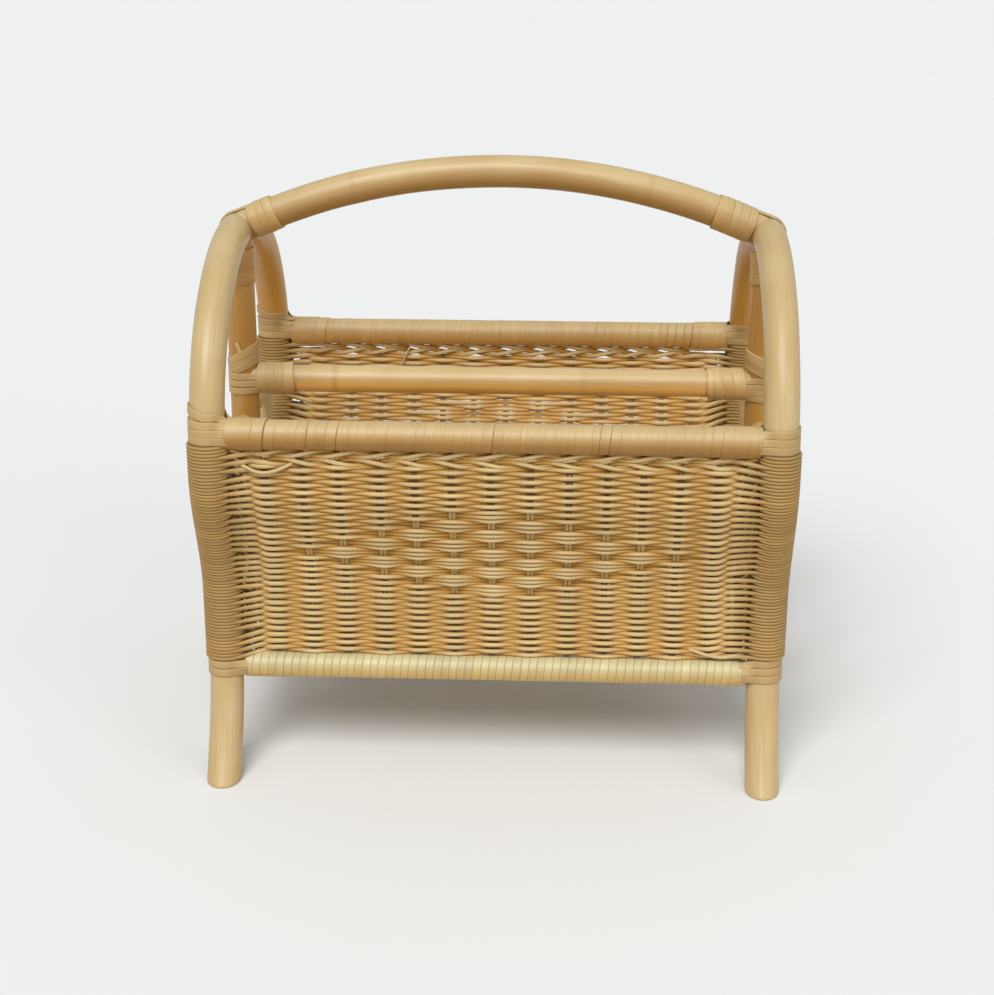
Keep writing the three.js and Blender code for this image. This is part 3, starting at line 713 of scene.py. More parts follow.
# How much painted shade each pole gets on its lower side, its own lightness, and how much painted
# bounce light the lowest part gets back from below.
poleShades = {
    "handle": (1.0, 0.0, 0.0),
    "centerRail": (1.1, 0.13, 0.66),
    "hoop": (0.2, 0.0, 0.0),
    "post": (0.1, 0.0, 0.0),
    "brace": (0.0, 0.12, 0.0),
    "other": (0.8, 0.0, 0.0),
}


# How much painted shade a pole gets all round at a place on its axis.
def polePaintedShade(key, centre):
    share = innerPaintedShade.get(key, 0.0)
    if key != "hoop":
        return share
    (y, yRun), (z, zRun) = innerStart["y"], innerStart["z"]
    return share * ease((centre.y - y) / yRun) * ease((centre.z - z) / zRun)


def poleShape(key, extraSeed=0.0):
    kind = poles[key]
    shaded, tone, glow = poleShades.get(key, poleShades["other"])
    return {
        **poleFinish,
        "radius": kind["radius"],
        "joints": kind["joints"],
        "seed": kind["seed"] * 0.37 + extraSeed,
        "shaded": shaded,
        "tone": tone,
        "glow": glow,
        "innerLift": innerLift.get(key, 0.0),
        "paintedShadeAt": lambda centre: polePaintedShade(key, centre),
    }


# A hoop: level rings up the leaning legs, so the feet stand flat, and square rings over the arch.
def hoopRings(side):
    x = side * halfLength
    radius = poles["hoop"]["radius"]
    rounding = poleCuts["footRound"]
    legRings = []
    for share in (0.0, 0.3, 0.6, 0.85, 1.0):
        height = rounding * (1 - math.cos(share * math.pi / 2))
        size = 1 - (rounding / radius) * (1 - math.sin(share * math.pi / 2))
        legRings.append((height, size))
    height = rounding + poleCuts["step"]
    while height < basket["springHeight"] - 1:
        legRings.append((height, 1.0))
        height += poleCuts["step"]
    front = []
    for height, size in legRings:
        slope = (reachAt(height + 0.5) - reachAt(max(0.0, height - 0.5))) / (0.5 + min(0.5, height))
        front.append((Vector((x, -reachAt(height), height)), alongX, Vector((0, -levelCut(slope), 0)), size))
    arch = []
    reach, rise = basket["shoulderReach"], basket["archHeight"]
    for i in range(poleCuts["archSteps"] + 1):
        angle = math.pi * i / poleCuts["archSteps"]
        cos, sin = math.cos(angle), math.sin(angle)
        spot = Vector((x, -reach * cos, basket["springHeight"] + rise * sin))
        tangent = Vector((0, reach * sin, rise * cos)).normalized()
        arch.append((spot, alongX, tangent.cross(alongX) * -1, 1.0))
    rear = [
        (Vector((spot.x, -spot.y, spot.z)), across, Vector((0, -up.y, 0)), size)
        for spot, across, up, size in reversed(front)
    ]
    return front + arch + rear


# How far the left and right end of a top rail sit above their nominal height.
railSlope = {"front": (1.3, 0.4), "rear": (0.0, 0.0)}

# The handle is an arc between the crowns of the hoops.
handleBend = (halfLength**2 + basket["handleRise"] ** 2) / (2 * basket["handleRise"])
handleHalfAngle = math.asin(halfLength / handleBend)
handleCenter = crownHeight + basket["handleRise"] - handleBend


# The place on the handle's axis at an angle from its top.
def handleSpot(angle):
    return Vector((handleBend * math.sin(angle), 0, handleCenter + handleBend * math.cos(angle)))


def makeStraightPole(name, key, start, end, node, extraSeed=0.0):
    across = alongY if abs(end.x - start.x) > 1 else alongX
    rings = ringsAlong(straightPoints(start, end), across)
    skinPole(name, rings, poleShape(key, extraSeed), [node], rattanPole)


# A pole along the basket at y, with the heights of its left and right end.
def makeLongPole(name, key, reach, y, left, right, node, extraSeed=0.0):
    makeStraightPole(name, key, Vector((-reach, y, left)), Vector((reach, y, right)), node, extraSeed)


def makePoles():
    top, bottom = basket["topRailHeight"], basket["bottomRailHeight"]
    for sideName, side in sides.items():
        shape = poleShape("hoop", side * 0.11)
        node = f"{sideName}_end_hoop"
        skinPole(f"{sideName}_hoop_pole", hoopRings(side), shape, [node], rattanPole)
    count = poleCuts["handleSteps"]
    arc = [handleSpot(handleHalfAngle * (2 * i / count - 1)) for i in range(count + 1)]
    rings = ringsAlong(arc, alongY)
    skinPole("handle_pole", rings, poleShape("handle"), ["carrying_handle"], rattanPole)
    lowReach = reachAt(bottom)
    for sideName, side in sides.items():
        x = side * halfLength
        foot, crown = Vector((x, 0, bottom + poleCuts["postRise"])), Vector((x, 0, crownHeight))
        makeStraightPole(f"{sideName}_post_pole", "post", foot, crown, f"{sideName}_center_post", side * 0.2)
        front, rear = Vector((x, -lowReach, bottom)), Vector((x, lowReach, bottom))
        node = f"{sideName}_stretcher"
        makeStraightPole(f"{node}_pole", "stretcher", front, rear, node, side * 0.3)
    makeLongPole("center_rail_pole", "centerRail", halfLength, 0, top, top, "center_rail")
    reach, height = poleCuts["footRailReach"], poleCuts["footRailHeight"]
    makeLongPole("center_foot_rail_pole", "centerFootRail", reach, 0, height, height, "center_bottom_rail")
    for faceName, face in faces.items():
        for level, height, (left, right), extraSeed in (
            ("top", top, railSlope[faceName], 0.2), ("bottom", bottom, (0.0, 0.0), 0.3),
        ):
            node = f"{faceName}_{level}_rail"
            makeLongPole(
                f"{node}_pole", f"{level}Rail", halfLength, face * reachAt(height),
                height + left, height + right, node, face * extraSeed,
            )
        for sideName, side in sides.items():
            makeBrace(sideName, side, faceName, face)


brace = {"reach": 88.0, "rootHeight": 235.0, "bendRadius": 8.0, "bendSteps": 16}


# A brace leaves its post level, bends and goes down to the stretcher.
def makeBrace(sideName, side, faceName, face):
    x = side * halfLength
    bend, reach, top = brace["bendRadius"], brace["reach"], brace["rootHeight"]
    turn = []
    for i in range(brace["bendSteps"] + 1):
        angle = math.pi / 2 * i / brace["bendSteps"]
        out = reach - bend * (1 - math.sin(angle))
        turn.append(Vector((x, face * out, top - bend + bend * math.cos(angle))))
    root = straightPoints(Vector((x, 0, top)), turn[0])
    leg = straightPoints(turn[-1], Vector((x, face * reach, basket["bottomRailHeight"])))
    rings = ringsAlong(root[:-1] + turn + leg[1:], alongX)
    name = f"{sideName}_{faceName}_brace_pole"
    shape = poleShape("brace", side * 0.1 + face * 0.05)
    skinPole(name, rings, shape, [f"{sideName}_{faceName}_end_brace"], rattanPole)


makePoles()
print("poles made")

# The woven panels. Pairs of numbers are zones: (distance from the middle of the basket where
# the zone starts, run over which it fades in).
weave = {
    "reedWidth": 3.2,
    "crossingWidth": 3.15,
    "swell": {"front": 1.04, "rear": 1.17},
    "swellEnd": (178.0, 14.0),
    "armSwell": {"front": 0.18, "rear": 0.3},
    "armStart": (150.0, 14.0),
    "armEnd": (180.0, 10.0),
    "tone": {"front": 0.0, "rear": 0.2},
    "depth": {"front": 2.0, "rear": 1.65},
    "spread": 0.85,  # between the rows in a group of three
    # Painted shade in the weave's hollows: how dark, and the depth over which it fades.
    "hollowShade": 0.9,  # how dark the weave is deep down
    "relief": 3.6,  # depth over which that fades
    "shaded": 0.3,
    "facets": 8,
    "middleHeight": 173.4,
    "upperPitch": 2.91,
    "lowerPitch": 2.54,
    "pitchBlend": 6,  # rows on each side over which the pitch changes
    "rowsAbove": 25,
    "rowsBelow": 32,
    "halfRows": [13.5, 13.5, 10.5, 7.5, 4.5, 1.5],  # of the diamond, from its middle outwards
    "steps": 8,
    "flatRun": 2.6,  # level run beside a pair of stakes
    "turnPower": 1.35,  # higher crosses from face to face more slowly
    "sway": 0.8,
    "wobble": 0.14,
    "seed": 11,
}
# Where strands wind round the legs, with two more zones.
legWeave = {
    "pitch": 2.54,
    "overlap": 0.12,
    "top": {"left": 262.0, "right": 261.2},  # the first and the last turn round a leg
    "bottom": {"left": 89.6, "right": 97.6},
    "radius": 14.0,
    "lastTurn": 352.0,
    "loopSteps": 26,
    "freeStart": -8.0,  # of a turn that belongs to no row
    "freeSteps": 30,
    "armSteps": 9,
    "lean": 0.6,  # 1 would be square to the leg
    "slimming": (170.0, 22.0),
    # Painted shade on the strands round a leg: where it comes in, its tint and how much darker they get.
    "darkening": (172.0, 20.0),
    "paintedShade": 0.6,
    "tone": -0.2,
}
stakes = {
    "places": [-160.8, -134.2, -108.9, -80.3, -55.1, -28.9, -1.3, 26.7, 54.2, 81.0, 106.5, 132.2, 158.4],
    "width": 2.6,
    "gap": 0.1,
    "from": 84.0,
    "to": 262.0,
    "steps": 60,
    "sway": 0.25,
    "tone": -0.05,
    # Painted shade on the stakes: darker where rows cover them, lighter in the diamond, and a shade tint.
    "stainsAndShades": {"front": 0.7, "rear": 0.4},
    "diamondShade": 0.12,
    "paintedShade": 0.5,
    "besideLeg": {"x": 177.5, "from": 92.0, "to": 258.0, "steps": 40, "tone": -0.1, "stainAndShade": 0.5},
}
stakePlaces = stakes["places"]
stakeCount = len(stakePlaces)
middleStake = stakeCount // 2
# How far out from the wall a row lies over a pair of stakes.
depth = {face: weave["depth"][name] for name, face in faces.items()}


def inZone(x, zone):
    start, run = zone
    return ease((abs(x) - start) / run)


def rowHeight(row):
    blend = weave["pitchBlend"]
    pitch = weave["upperPitch"] if row < 0 else weave["lowerPitch"]
    if abs(row) < blend:
        pitch = mix(weave["upperPitch"], weave["lowerPitch"], ease((row + blend) / (2 * blend)))
    return weave["middleHeight"] - row * pitch


# Whether a row is part of the diamond at a pair of stakes. Columns count from the middle pair.
def inGroups(row, column):
    near = abs(column)
    return near < len(weave["halfRows"]) and abs(row) <= weave["halfRows"][near]


# Which side of the wall a row lies on at a pair of stakes. Groups of three rows make the diamond.
def isOver(row, column):
    if inGroups(row, column):
        return (math.floor((row + 1.5) / 3) + column) % 2 == 0
    return (row + column) % 2 != 0


def inDiamond(height, column):
    near = abs(column)
    if near >= len(weave["halfRows"]):
        return False
    half = weave["halfRows"][near]
    return rowHeight(half) < height < rowHeight(-half)


# From a place beside the wall (x, out from it, height) to the basket's own axes.
def onWall(face, x, out, height):
    return Vector((x, face * (wallReach(height) + out), height))


# Rows in a group of three spread apart where they lie over a pair of stakes.
def spreadAt(row, column):
    return weave["spread"] * (1 - math.floor(row + 1.5) % 3) if inGroups(row, column) else 0.0


# The plan of a strand between the first and last stakes: level over a pair of stakes, then
# across to the other face. Each place is (x, out from the wall, rise, thickness share).
def weavePlan(states, spreads, deep):
    plan = []
    slim = weave["crossingWidth"] / weave["reedWidth"]
    for c in range(stakeCount - 1):
        flat = weave["flatRun"] / (stakePlaces[c + 1] - stakePlaces[c])
        for i in range(weave["steps"]):
            t = i / weave["steps"]
            across = 1 - 2 * min(1.0, max(0.0, (t - flat) / (1 - 2 * flat)))
            swing = math.copysign(abs(across) ** weave["turnPower"], across)
            if states[c] == states[c + 1]:
                swing, out = 1.0, states[c]
            else:
                out = states[c] * swing
            x = mix(stakePlaces[c], stakePlaces[c + 1], t)
            rise = spreads[c if t < 0.5 else c + 1] * ease(abs(across))
            plan.append((x, out * deep, rise, mix(slim, 1.0, abs(swing))))
    plan.append((stakePlaces[-1], states[-1] * deep, spreads[-1], 1.0))
    return plan


# The way round a leg and from it to the first stake. The strand starts behind the leg's
# inner side, goes nearly once round it and leaves it as a tangent. A loop place is (x from
# the leg's middle, out from the wall), an arm place (share of the way, out from the wall).
def legPlan(side, fromFront, stakeX, stakeOut):
    radius = legWeave["radius"]
    gap = abs(halfLength - abs(stakeX))
    tilt = math.acos(radius / math.hypot(gap, stakeOut)) - math.atan2(abs(stakeOut), gap)
    way = 1 if fromFront else -1
    loop = []
    for t in shares(legWeave["loopSteps"]):
        angle = mix(math.radians(legWeave["lastTurn"]), tilt, t)
        loop.append((-side * math.cos(angle) * radius, way * math.sin(angle) * radius))
    slope = -way * math.cos(tilt) / math.sin(tilt)
    span = gap - math.cos(tilt) * radius
    arm = []
    for t in shares(legWeave["armSteps"])[1:-1]:
        start = 2 * t**3 - 3 * t**2 + 1  # falls from 1 to 0
        leaving = t**3 - 2 * t**2 + t  # keeps the way in which the strand leaves the leg
        arm.append((t, start * loop[-1][1] + leaving * slope * span + (1 - start) * stakeOut))
    return loop, arm


# Every strand has its own slight wobble, and key picks it.
def smoothWobble(key, x, amount):
    return amount * noise.noise(Vector((x / 34, key * 3.7, key * 0.61)))


# Rows rise and dip together with their neighbours.
def sway(face, x, height):
    return weave["sway"] * noise.noise(Vector((x / 46, height / 30, face * 5.3)))


# The heights at which strands lie round a leg, from the top down.
def legSlots(sideName):
    top, low = legWeave["top"][sideName], legWeave["bottom"][sideName]
    count = round((top - low) / legWeave["pitch"]) + 1
    return [mix(top, low, t) for t in shares(count - 1)]


# A strand stays nearly square to a leaning leg as it goes round it.
def slotHeight(slot, lean, out):
    return slot + legWeave["lean"] * lean * (legWeave["radius"] - out)


# One woven row: in from the left leg, across, and round the right leg.
def rowStrand(face, row, states, height, slots, tone, key):
    spots, scales, beds = [], [], []
    spreads = [spreadAt(row, c - middleStake) for c in range(stakeCount)]
    for sideName, side in sides.items():
        edge = 0 if side < 0 else -1
        stakeX, stakeOut = stakePlaces[edge], states[edge] * depth[face]
        loop, arm = legPlan(side, states[edge] < 0, stakeX, stakeOut)
        slot, x0 = slots[sideName], side * halfLength
        lean = leanAt(slot)
        part = [
            onWall(face, x0 + dx, out * levelCut(lean), slotHeight(slot, lean, out))
            for dx, out in loop
        ]
        startX, startHeight = x0 + loop[-1][0], slotHeight(slot, lean, loop[-1][1])
        for t, out in arm:
            level = mix(startHeight, height, ease(t))
            part.append(onWall(face, mix(startX, stakeX, t), out, level))
        sizes = [legShare(spot.x) for spot in part]
        away = [farAway] * len(loop) + [face * out for t, out in arm]
        if side < 0:
            spots += part
            scales += sizes
            beds += away
            for x, out, rise, size in weavePlan(states, spreads, depth[face]):
                drift = smoothWobble(key, x, weave["wobble"]) + sway(face, x, height) + rise
                spots.append(onWall(face, x, out, height + drift))
                scales.append(size)
                beds.append(face * out)
        else:
            spots += reversed(part)
            scales += reversed(sizes)
            beds += reversed(away)
    return wovenStrand(face, spots, tone, scales, beds)


# A strand with the colour and width that its place gives it: slimmer and darker round a leg, where painted
# shade darkens it, and fuller where it fans out from a leg to the first stake.
def wovenStrand(face, spots, tone, scales, beds):
    faceName = "front" if face < 0 else "rear"
    lift = weave["tone"][faceName]
    swell, armSwell = weave["swell"][faceName], weave["armSwell"][faceName]
    tones, paintedShades, widths = [], [], []
    for spot, scale in zip(spots, scales):
        nearLeg = inZone(spot.x, legWeave["darkening"])
        paintedShades.append(legWeave["paintedShade"] * nearLeg)
        tones.append(tone + mix(lift, legWeave["tone"], nearLeg))
        arm = inZone(spot.x, weave["armStart"]) * (1 - inZone(spot.x, weave["armEnd"]))
        widths.append(scale * (mix(swell, 1.0, inZone(spot.x, weave["swellEnd"])) + armSwell * arm))
    return strand(spots, tone=tones, scale=widths, bed=beds, paintedShade=paintedShades)


# Strands are as wide as the leg has room for where they go round it.
def legShare(x):
    room = (legWeave["pitch"] + legWeave["overlap"]) / weave["reedWidth"]
    return mix(1.0, room, inZone(x, legWeave["slimming"]))


# A turn round a leg that belongs to no row and fills a slot left free.
def legLoop(face, side, height, tone):
    x0 = side * halfLength
    radius = legWeave["radius"]
    lean = leanAt(height)
    spots = []
    for t in shares(legWeave["freeSteps"]):
        angle = math.radians(mix(legWeave["freeStart"], legWeave["lastTurn"], t))
        out = math.sin(angle) * radius
        x = x0 - side * math.cos(angle) * radius
        spots.append(onWall(face, x, out * levelCut(lean), slotHeight(height, lean, out)))
    # Painted shade as on the other strands round a leg.
    return strand(spots, tone=tone + legWeave["tone"], scale=legShare(x0), paintedShade=legWeave["paintedShade"])


# Two rows, each (height, way that it twists), and how far their strands rise and dip.
twining = {
    "rows": {"front": [(255.6, 1), (249.4, -1)], "rear": [(256.7, 1), (250.7, -1)]},
    "rise": 2.0,
    "slotGap": 1.3,
}


# Two strands that twist round each other between the pairs of stakes.
def twiningStrands(face, height, twist, slots, dice):
    made = []
    for turn in (0, 1):
        states = [1 if (c + turn) % 2 == 0 else -1 for c in range(stakeCount)]
        middle, middleBeds = [], []
        for c in range(stakeCount - 1):
            for i in range(weave["steps"]):
                t = i / weave["steps"]
                x = mix(stakePlaces[c], stakePlaces[c + 1], t)
                out = states[c] * depth[face] * math.cos(math.pi * t)
                level = height + twist * twining["rise"] * math.sin(math.pi * t) * states[c]
                middle.append(onWall(face, x, out, level))
                middleBeds.append(face * out)
        middle.append(onWall(face, stakePlaces[-1], states[-1] * depth[face], height))
        middleBeds.append(face * states[-1] * depth[face])
        spots, beds = [], []
        for sideName, side in sides.items():
            edge = 0 if side < 0 else -1
            stakeX, stakeOut = stakePlaces[edge], states[edge] * depth[face]
            loop, arm = legPlan(side, states[edge] < 0, stakeX, stakeOut)
            slot, x0 = slots[sideName][turn], side * halfLength
            startX = x0 + loop[-1][0]
            part = [onWall(face, x0 + dx, out, slot) for dx, out in loop]
            part += [onWall(face, mix(startX, stakeX, t), out, mix(slot, height, ease(t))) for t, out in arm]
            away = [farAway] * len(loop) + [face * out for t, out in arm]
            if side < 0:
                spots += part + middle
                beds += away + middleBeds
            else:
                spots += reversed(part)
                beds += reversed(away)
        scales = [legShare(spot.x) for spot in spots]
        made.append(wovenStrand(face, spots, dice.uniform(-0.08, 0.06), scales, beds))
    return made


def makePanel(faceName, face):
    dice = random.Random(weave["seed"] + face)
    slots = {name: legSlots(name) for name in sides}
    free = {name: list(range(len(slots[name]))) for name in sides}

    def take(sideName, height):
        index = min(free[sideName], key=lambda i: abs(slots[sideName][i] - height))
        free[sideName].remove(index)
        return slots[sideName][index]

    strands = []
    for height, twist in twining["rows"][faceName]:
        gap = twining["slotGap"]
        used = {name: [take(name, height + gap), take(name, height - gap)] for name in sides}
        strands += twiningStrands(face, height, twist, used, dice)
    above, below = weave["rowsAbove"], weave["rowsBelow"]
    for row in range(-above, below + 1):
        states = [1 if isOver(row, c - middleStake) else -1 for c in range(stakeCount)]
        share = (row + above) / (above + below)
        used = {name: take(name, mix(rowHeight(-above), legWeave["bottom"][name], share)) for name in sides}
        tone = dice.gauss(0, 0.05)
        strands.append(rowStrand(face, row, states, rowHeight(row), used, tone, row + 40 + face * 100))
    for name, side in sides.items():
        for index in free[name]:
            strands.append(legLoop(face, side, slots[name][index], dice.gauss(-0.02, 0.05)))
    strands += looseStrands(face, faceName)
    sizes = {key: weave[key] for key in ("facets", "hollowShade", "relief", "shaded")}
    sizes["width"] = weave["reedWidth"]
    node = f"{faceName}_woven_panel"
    sweepStrands(f"{faceName}_weave_rows", strands, sweepReed, sizes, [node], coreReed)
    sizes = {"width": stakes["width"], "facets": weave["facets"]}
    uprights = stakeStrands(faceName, face, dice)
    sweepStrands(f"{faceName}_stakes", uprights, sweepReed, sizes, [node], coreReed)


# Pairs of stakes under the rows, darker with painted shade outside the diamond, where the rows cover them,
# and one stake beside each leg.
def stakeStrands(faceName, face, dice):
    made = []
    for c, x in enumerate(stakePlaces):
        for pair in (-1, 1):
            offset = pair * (stakes["width"] + stakes["gap"]) / 2
            spots, stainsAndShades = [], []
            for t in shares(stakes["steps"]):
                height = mix(stakes["from"], stakes["to"], t)
                bent = stakes["sway"] * noise.noise(Vector((height / 40, c * 2.1, pair)))
                spots.append(onWall(face, x + offset + bent, 0, height))
                # Painted shade: dark where the rows cover the stakes, light where they show in the diamond.
                light = inDiamond(height, c - middleStake)
                stainsAndShades.append(stakes["diamondShade"] if light else stakes["stainsAndShades"][faceName])
            tone = dice.gauss(stakes["tone"], 0.04)
            made.append(strand(spots, tone=tone, stainAndShade=stainsAndShades, paintedShade=stakes["paintedShade"]))
    last = stakes["besideLeg"]
    heights = [mix(last["from"], last["to"], t) for t in shares(last["steps"])]
    for side in (-1, 1):
        spots = [onWall(face, side * last["x"], 0, height) for height in heights]
        made.append(strand(spots, tone=last["tone"], stainAndShade=last["stainAndShade"]))
    return made


# Short reeds that lie loose on the weave: [(x, out from the wall, height), ...], width share, tone.
looseReeds = {
    "front": [
        ([(-179, 1.2, 247.6), (-173.5, 3.8, 246.2), (-167, 4.4, 243.2), (-159.8, 4.5, 242.3),
          (-151.5, 4.2, 244.2), (-144.5, 2.6, 247.0), (-141, 0.6, 248.4)], 0.85, -0.02),
        ([(145, 0.8, 98.4), (150.4, 3.6, 98.0), (158, 4.6, 95.8), (168, 4.8, 94.4), (177, 4.6, 95.6),
          (184.8, 3.8, 97.6), (189, 2.2, 99.0)], 0.9, -0.04),
    ],
    "rear": [
        ([(-91.5, -1.0, 236.6), (-89.7, -3.9, 242.1), (-85.7, -4.2, 251.0), (-81.7, -4.0, 259.0),
          (-80.6, -1.5, 262.0)], 0.85, 0.35),
    ],
}


def looseStrands(face, faceName):
    made = []
    for plan, share, tone in looseReeds[faceName]:
        corners = [onWall(face, x, out, height) for x, out, height in plan]
        made.append(strand(smoothPath(corners), tone=tone, scale=share))
    return made


# A smooth path through all the given corners, with so many steps between two of them.
def smoothPath(corners, steps=6):
    points = []
    ends = [corners[0]] + corners + [corners[-1]]
    for a, b, c, d in zip(ends, ends[1:], ends[2:], ends[3:]):
        for i in range(steps):
            t = i / steps
            bend, twist = a * 2 - b * 5 + c * 4 - d, b * 3 - a - c * 3 + d
            points.append((b * 2 + (c - a) * t + bend * t**2 + twist * t**3) * 0.5)
    return points + [corners[-1]]


for faceName, face in faces.items():
    makePanel(faceName, face)
print("panels woven")

# The woven base.
floorWeave = {
    "reedWidth": 2.2,
    "stakeWidth": 2.0,
    "stakeGap": 0.2,
    "stakeReach": 117.0,
    "facets": 6,
    "height": 93.9,
    "pitch": 2.55,
    "halfWidth": 115.5,
    "end": 182.0,
    "border": 179.2,  # place of the outermost stakes
    "steps": 5,
    "stakeSteps": 30,
    "stakeTone": -0.05,
    "stakeDarkening": 0.4,
    "wobble": 0.3,
    "seed": 5,
}


def makeBase():
    dice = random.Random(floorWeave["seed"])
    level, halfWidth = floorWeave["height"], floorWeave["halfWidth"]
    lift = (floorWeave["reedWidth"] + floorWeave["stakeWidth"]) / 2
    strands = []
    rows = round(2 * halfWidth / floorWeave["pitch"])
    xs = [-floorWeave["end"]] + stakePlaces + [floorWeave["end"]]
    for row in range(rows + 1):
        y = mix(-halfWidth, halfWidth, row / rows)
        spots = []
        for c in range(len(xs) - 1):
            here = 1 if (row + c) % 2 else -1
            for i in range(floorWeave["steps"]):
                t = i / floorWeave["steps"]
                bent = smoothWobble(row + 300, xs[c] + 26 * t, floorWeave["wobble"])
                z = level + here * lift * math.cos(math.pi * t)
                spots.append(Vector((mix(xs[c], xs[c + 1], t), y + bent, z)))
        spots.append(Vector((xs[-1], y, level)))
        strands.append(strand(spots, tone=dice.gauss(0, 0.05)))
    sizes = {"width": floorWeave["reedWidth"], "facets": floorWeave["facets"]}
    sweepStrands("base_weave_rows", strands, sweepReed, sizes, ["woven_base"], coreReed)
    ribs = []
    reach = floorWeave["stakeReach"]
    for x in [-floorWeave["border"]] + stakePlaces + [floorWeave["border"]]:
        for pair in (-1, 1):
            ribX = x + pair * (floorWeave["stakeWidth"] + floorWeave["stakeGap"]) / 2
            spots = [Vector((ribX, mix(-reach, reach, t), level)) for t in shares(floorWeave["stakeSteps"])]
            ribs.append(strand(spots, tone=floorWeave["stakeTone"], stainAndShade=floorWeave["stakeDarkening"]))
    sizes = {"width": floorWeave["stakeWidth"], "facets": floorWeave["facets"]}
    sweepStrands("base_stakes", ribs, sweepReed, sizes, ["woven_base"], coreReed)


makeBase()
print("base woven")

# The peel that binds the poles. A fit is a turn's width as a share of its room.
peel = {
    "width": 6.0,
    "thickness": 1.0,
    "tuck": 0.7,
    "tuckRun": 0.45,  # in turns
    "fit": 1.01,
    "openFit": 0.975,
    "facets": 14,
    "stepsPerTurn": 26,
    "shaded": 0.75,
    "toneSpread": 0.035,
}
peelSizes = {key: peel[key] for key in ("width", "thickness", "facets", "shaded")}


# Winds a strip round an axis, from behind it to behind it. Seams are the edges between
# neighbouring turns, as lengths along the axis; the strip is as wide as each turn has room,
# or as the fits say, and both its ends are tucked under. With a tilt, every turn climbs
# towards the given side. Tones are used over and over, and sense is the way round.
def windOn(axisAt, across, radiusAt, seams, tones, tilt=None, paintedShade=0.0, fits=None, sense=1):
    turns = len(seams) - 1
    middles = [(a + b) / 2 for a, b in zip(seams, seams[1:])]
    widths = [abs(b - a) for a, b in zip(seams, seams[1:])]
    spots, outs, scales, shades = [], [], [], []
    steps = peel["stepsPerTurn"]
    for i in range(turns * steps + 1):
        turn = i / steps
        lead = min(turns - 1.0, max(0.0, turn - 0.5))
        index = min(turns - 1, int(lead))
        after = min(turns - 1, index + 1)
        level = mix(middles[index], middles[after], lead - index)
        width = mix(widths[index], widths[after], lead - index)
        point, along = axisAt(level)
        side = along.cross(across) * sense
        angle = 2 * math.pi * turn
        out = across * math.cos(angle) + side * math.sin(angle)
        tuck = peel["tuck"] * (1 - ease(min(turn, turns - turn) / peel["tuckRun"]))
        spot = point + out * (radiusAt(level) + peel["thickness"] / 2 - tuck)
        if tilt:
            spot += along * out.dot(tilt)
        fit = mix(fits[index], fits[after], lead - index) if fits else peel["fit"]
        fade = ease((lead - index - 0.35) / 0.3)
        spots.append(spot)
        outs.append(out)
        scales.append(width * fit / peel["width"])
        shades.append(mix(tones[index % len(tones)], tones[after % len(tones)], fade))
    return strand(spots, tone=shades, scale=scales, outward=outs, paintedShade=paintedShade)


# Seams from start to end, about a width apart.
def rollSeams(dice, start, end, width, spread):
    seams = [start]
    while seams[-1] < end - width * 0.5:
        seams.append(seams[-1] + width * dice.uniform(1 - spread, 1 + spread))
    scale = (end - start) / (seams[-1] - start)
    return [start + (seam - start) * scale for seam in seams]


# How much lighter or darker each turn of a strip is.
def peelTones(dice, count=97):
    return [dice.gauss(0, peel["toneSpread"]) for _ in range(count)]


# The wraps of the long rails: the first three turns are as wide as "lead", the others about
# as wide as "pitch". Seams that have opened are named by their place along the rail.
railWraps = {
    "top": {
        "radius": 9.45,
        "from": -187.2,
        "to": 186.8,
        "lead": 9.2,
        "pitch": 6.8,
        "spread": 0.2,
        "seed": 21,
        "fit": 1.12,
        "toneSpread": 0.45,
        "tone": {"front": 0.0, "rear": 0.08},
        # Painted bounce light on the lowest side, and painted shade on the side away from the light.
        "glow": {"front": 0.0, "rear": 0.4},
        "shaded": {"front": 1.3, "rear": 1.0},
        "openSeams": {"front": [-159, -130, -106, 0, 78, 85], "rear": [82, 104, 133, 145, 162]},
        "swelling": 1.0,
        "slope": railSlope,
        "finish": rattanPeel,
    },
    "bottom": {
        "radius": 8.45,
        "from": -185.5,
        "to": 186.8,
        "lead": 5.9,
        "pitch": 5.9,
        "spread": 0.08,
        "seed": 22,
        "fit": 0.982,
        "toneSpread": 0.8,
        "tone": {"front": 0.0, "rear": 0.0},
        # Painted bounce light on the lowest side, and painted shade on the side away from the light.
        "glow": {"front": 0.35, "rear": 0.35},
        "shaded": {"front": 0.95, "rear": 0.95},
        "openSeams": {"front": [], "rear": []},
        "swelling": 0.55,
        "slope": {"front": (0.0, 0.0), "rear": (0.0, 0.0)},
        "finish": palePeel,
    },
}
leadTurns = 3
swelling = {"run": 36.0, "fade": 12.0}  # from the wrap's end


# A wrap lies higher where a strap's arms lie under it, at both its ends.
def wrapLift(wrap, level):
    inside = min(level - wrap["from"], wrap["to"] - level)
    fade = ease((inside - swelling["run"] + swelling["fade"]) / swelling["fade"])
    return wrap["swelling"] * (1 - fade)


# Turns lie close but for the seams that have opened.
def seamFits(seams, wanted, usual):
    fits = [usual] * (len(seams) - 1)
    for opening in wanted:
        nearest = min(range(1, len(seams) - 1), key=lambda i: abs(seams[i] - opening))
        fits[nearest - 1] = fits[nearest] = peel["openFit"]
    return fits


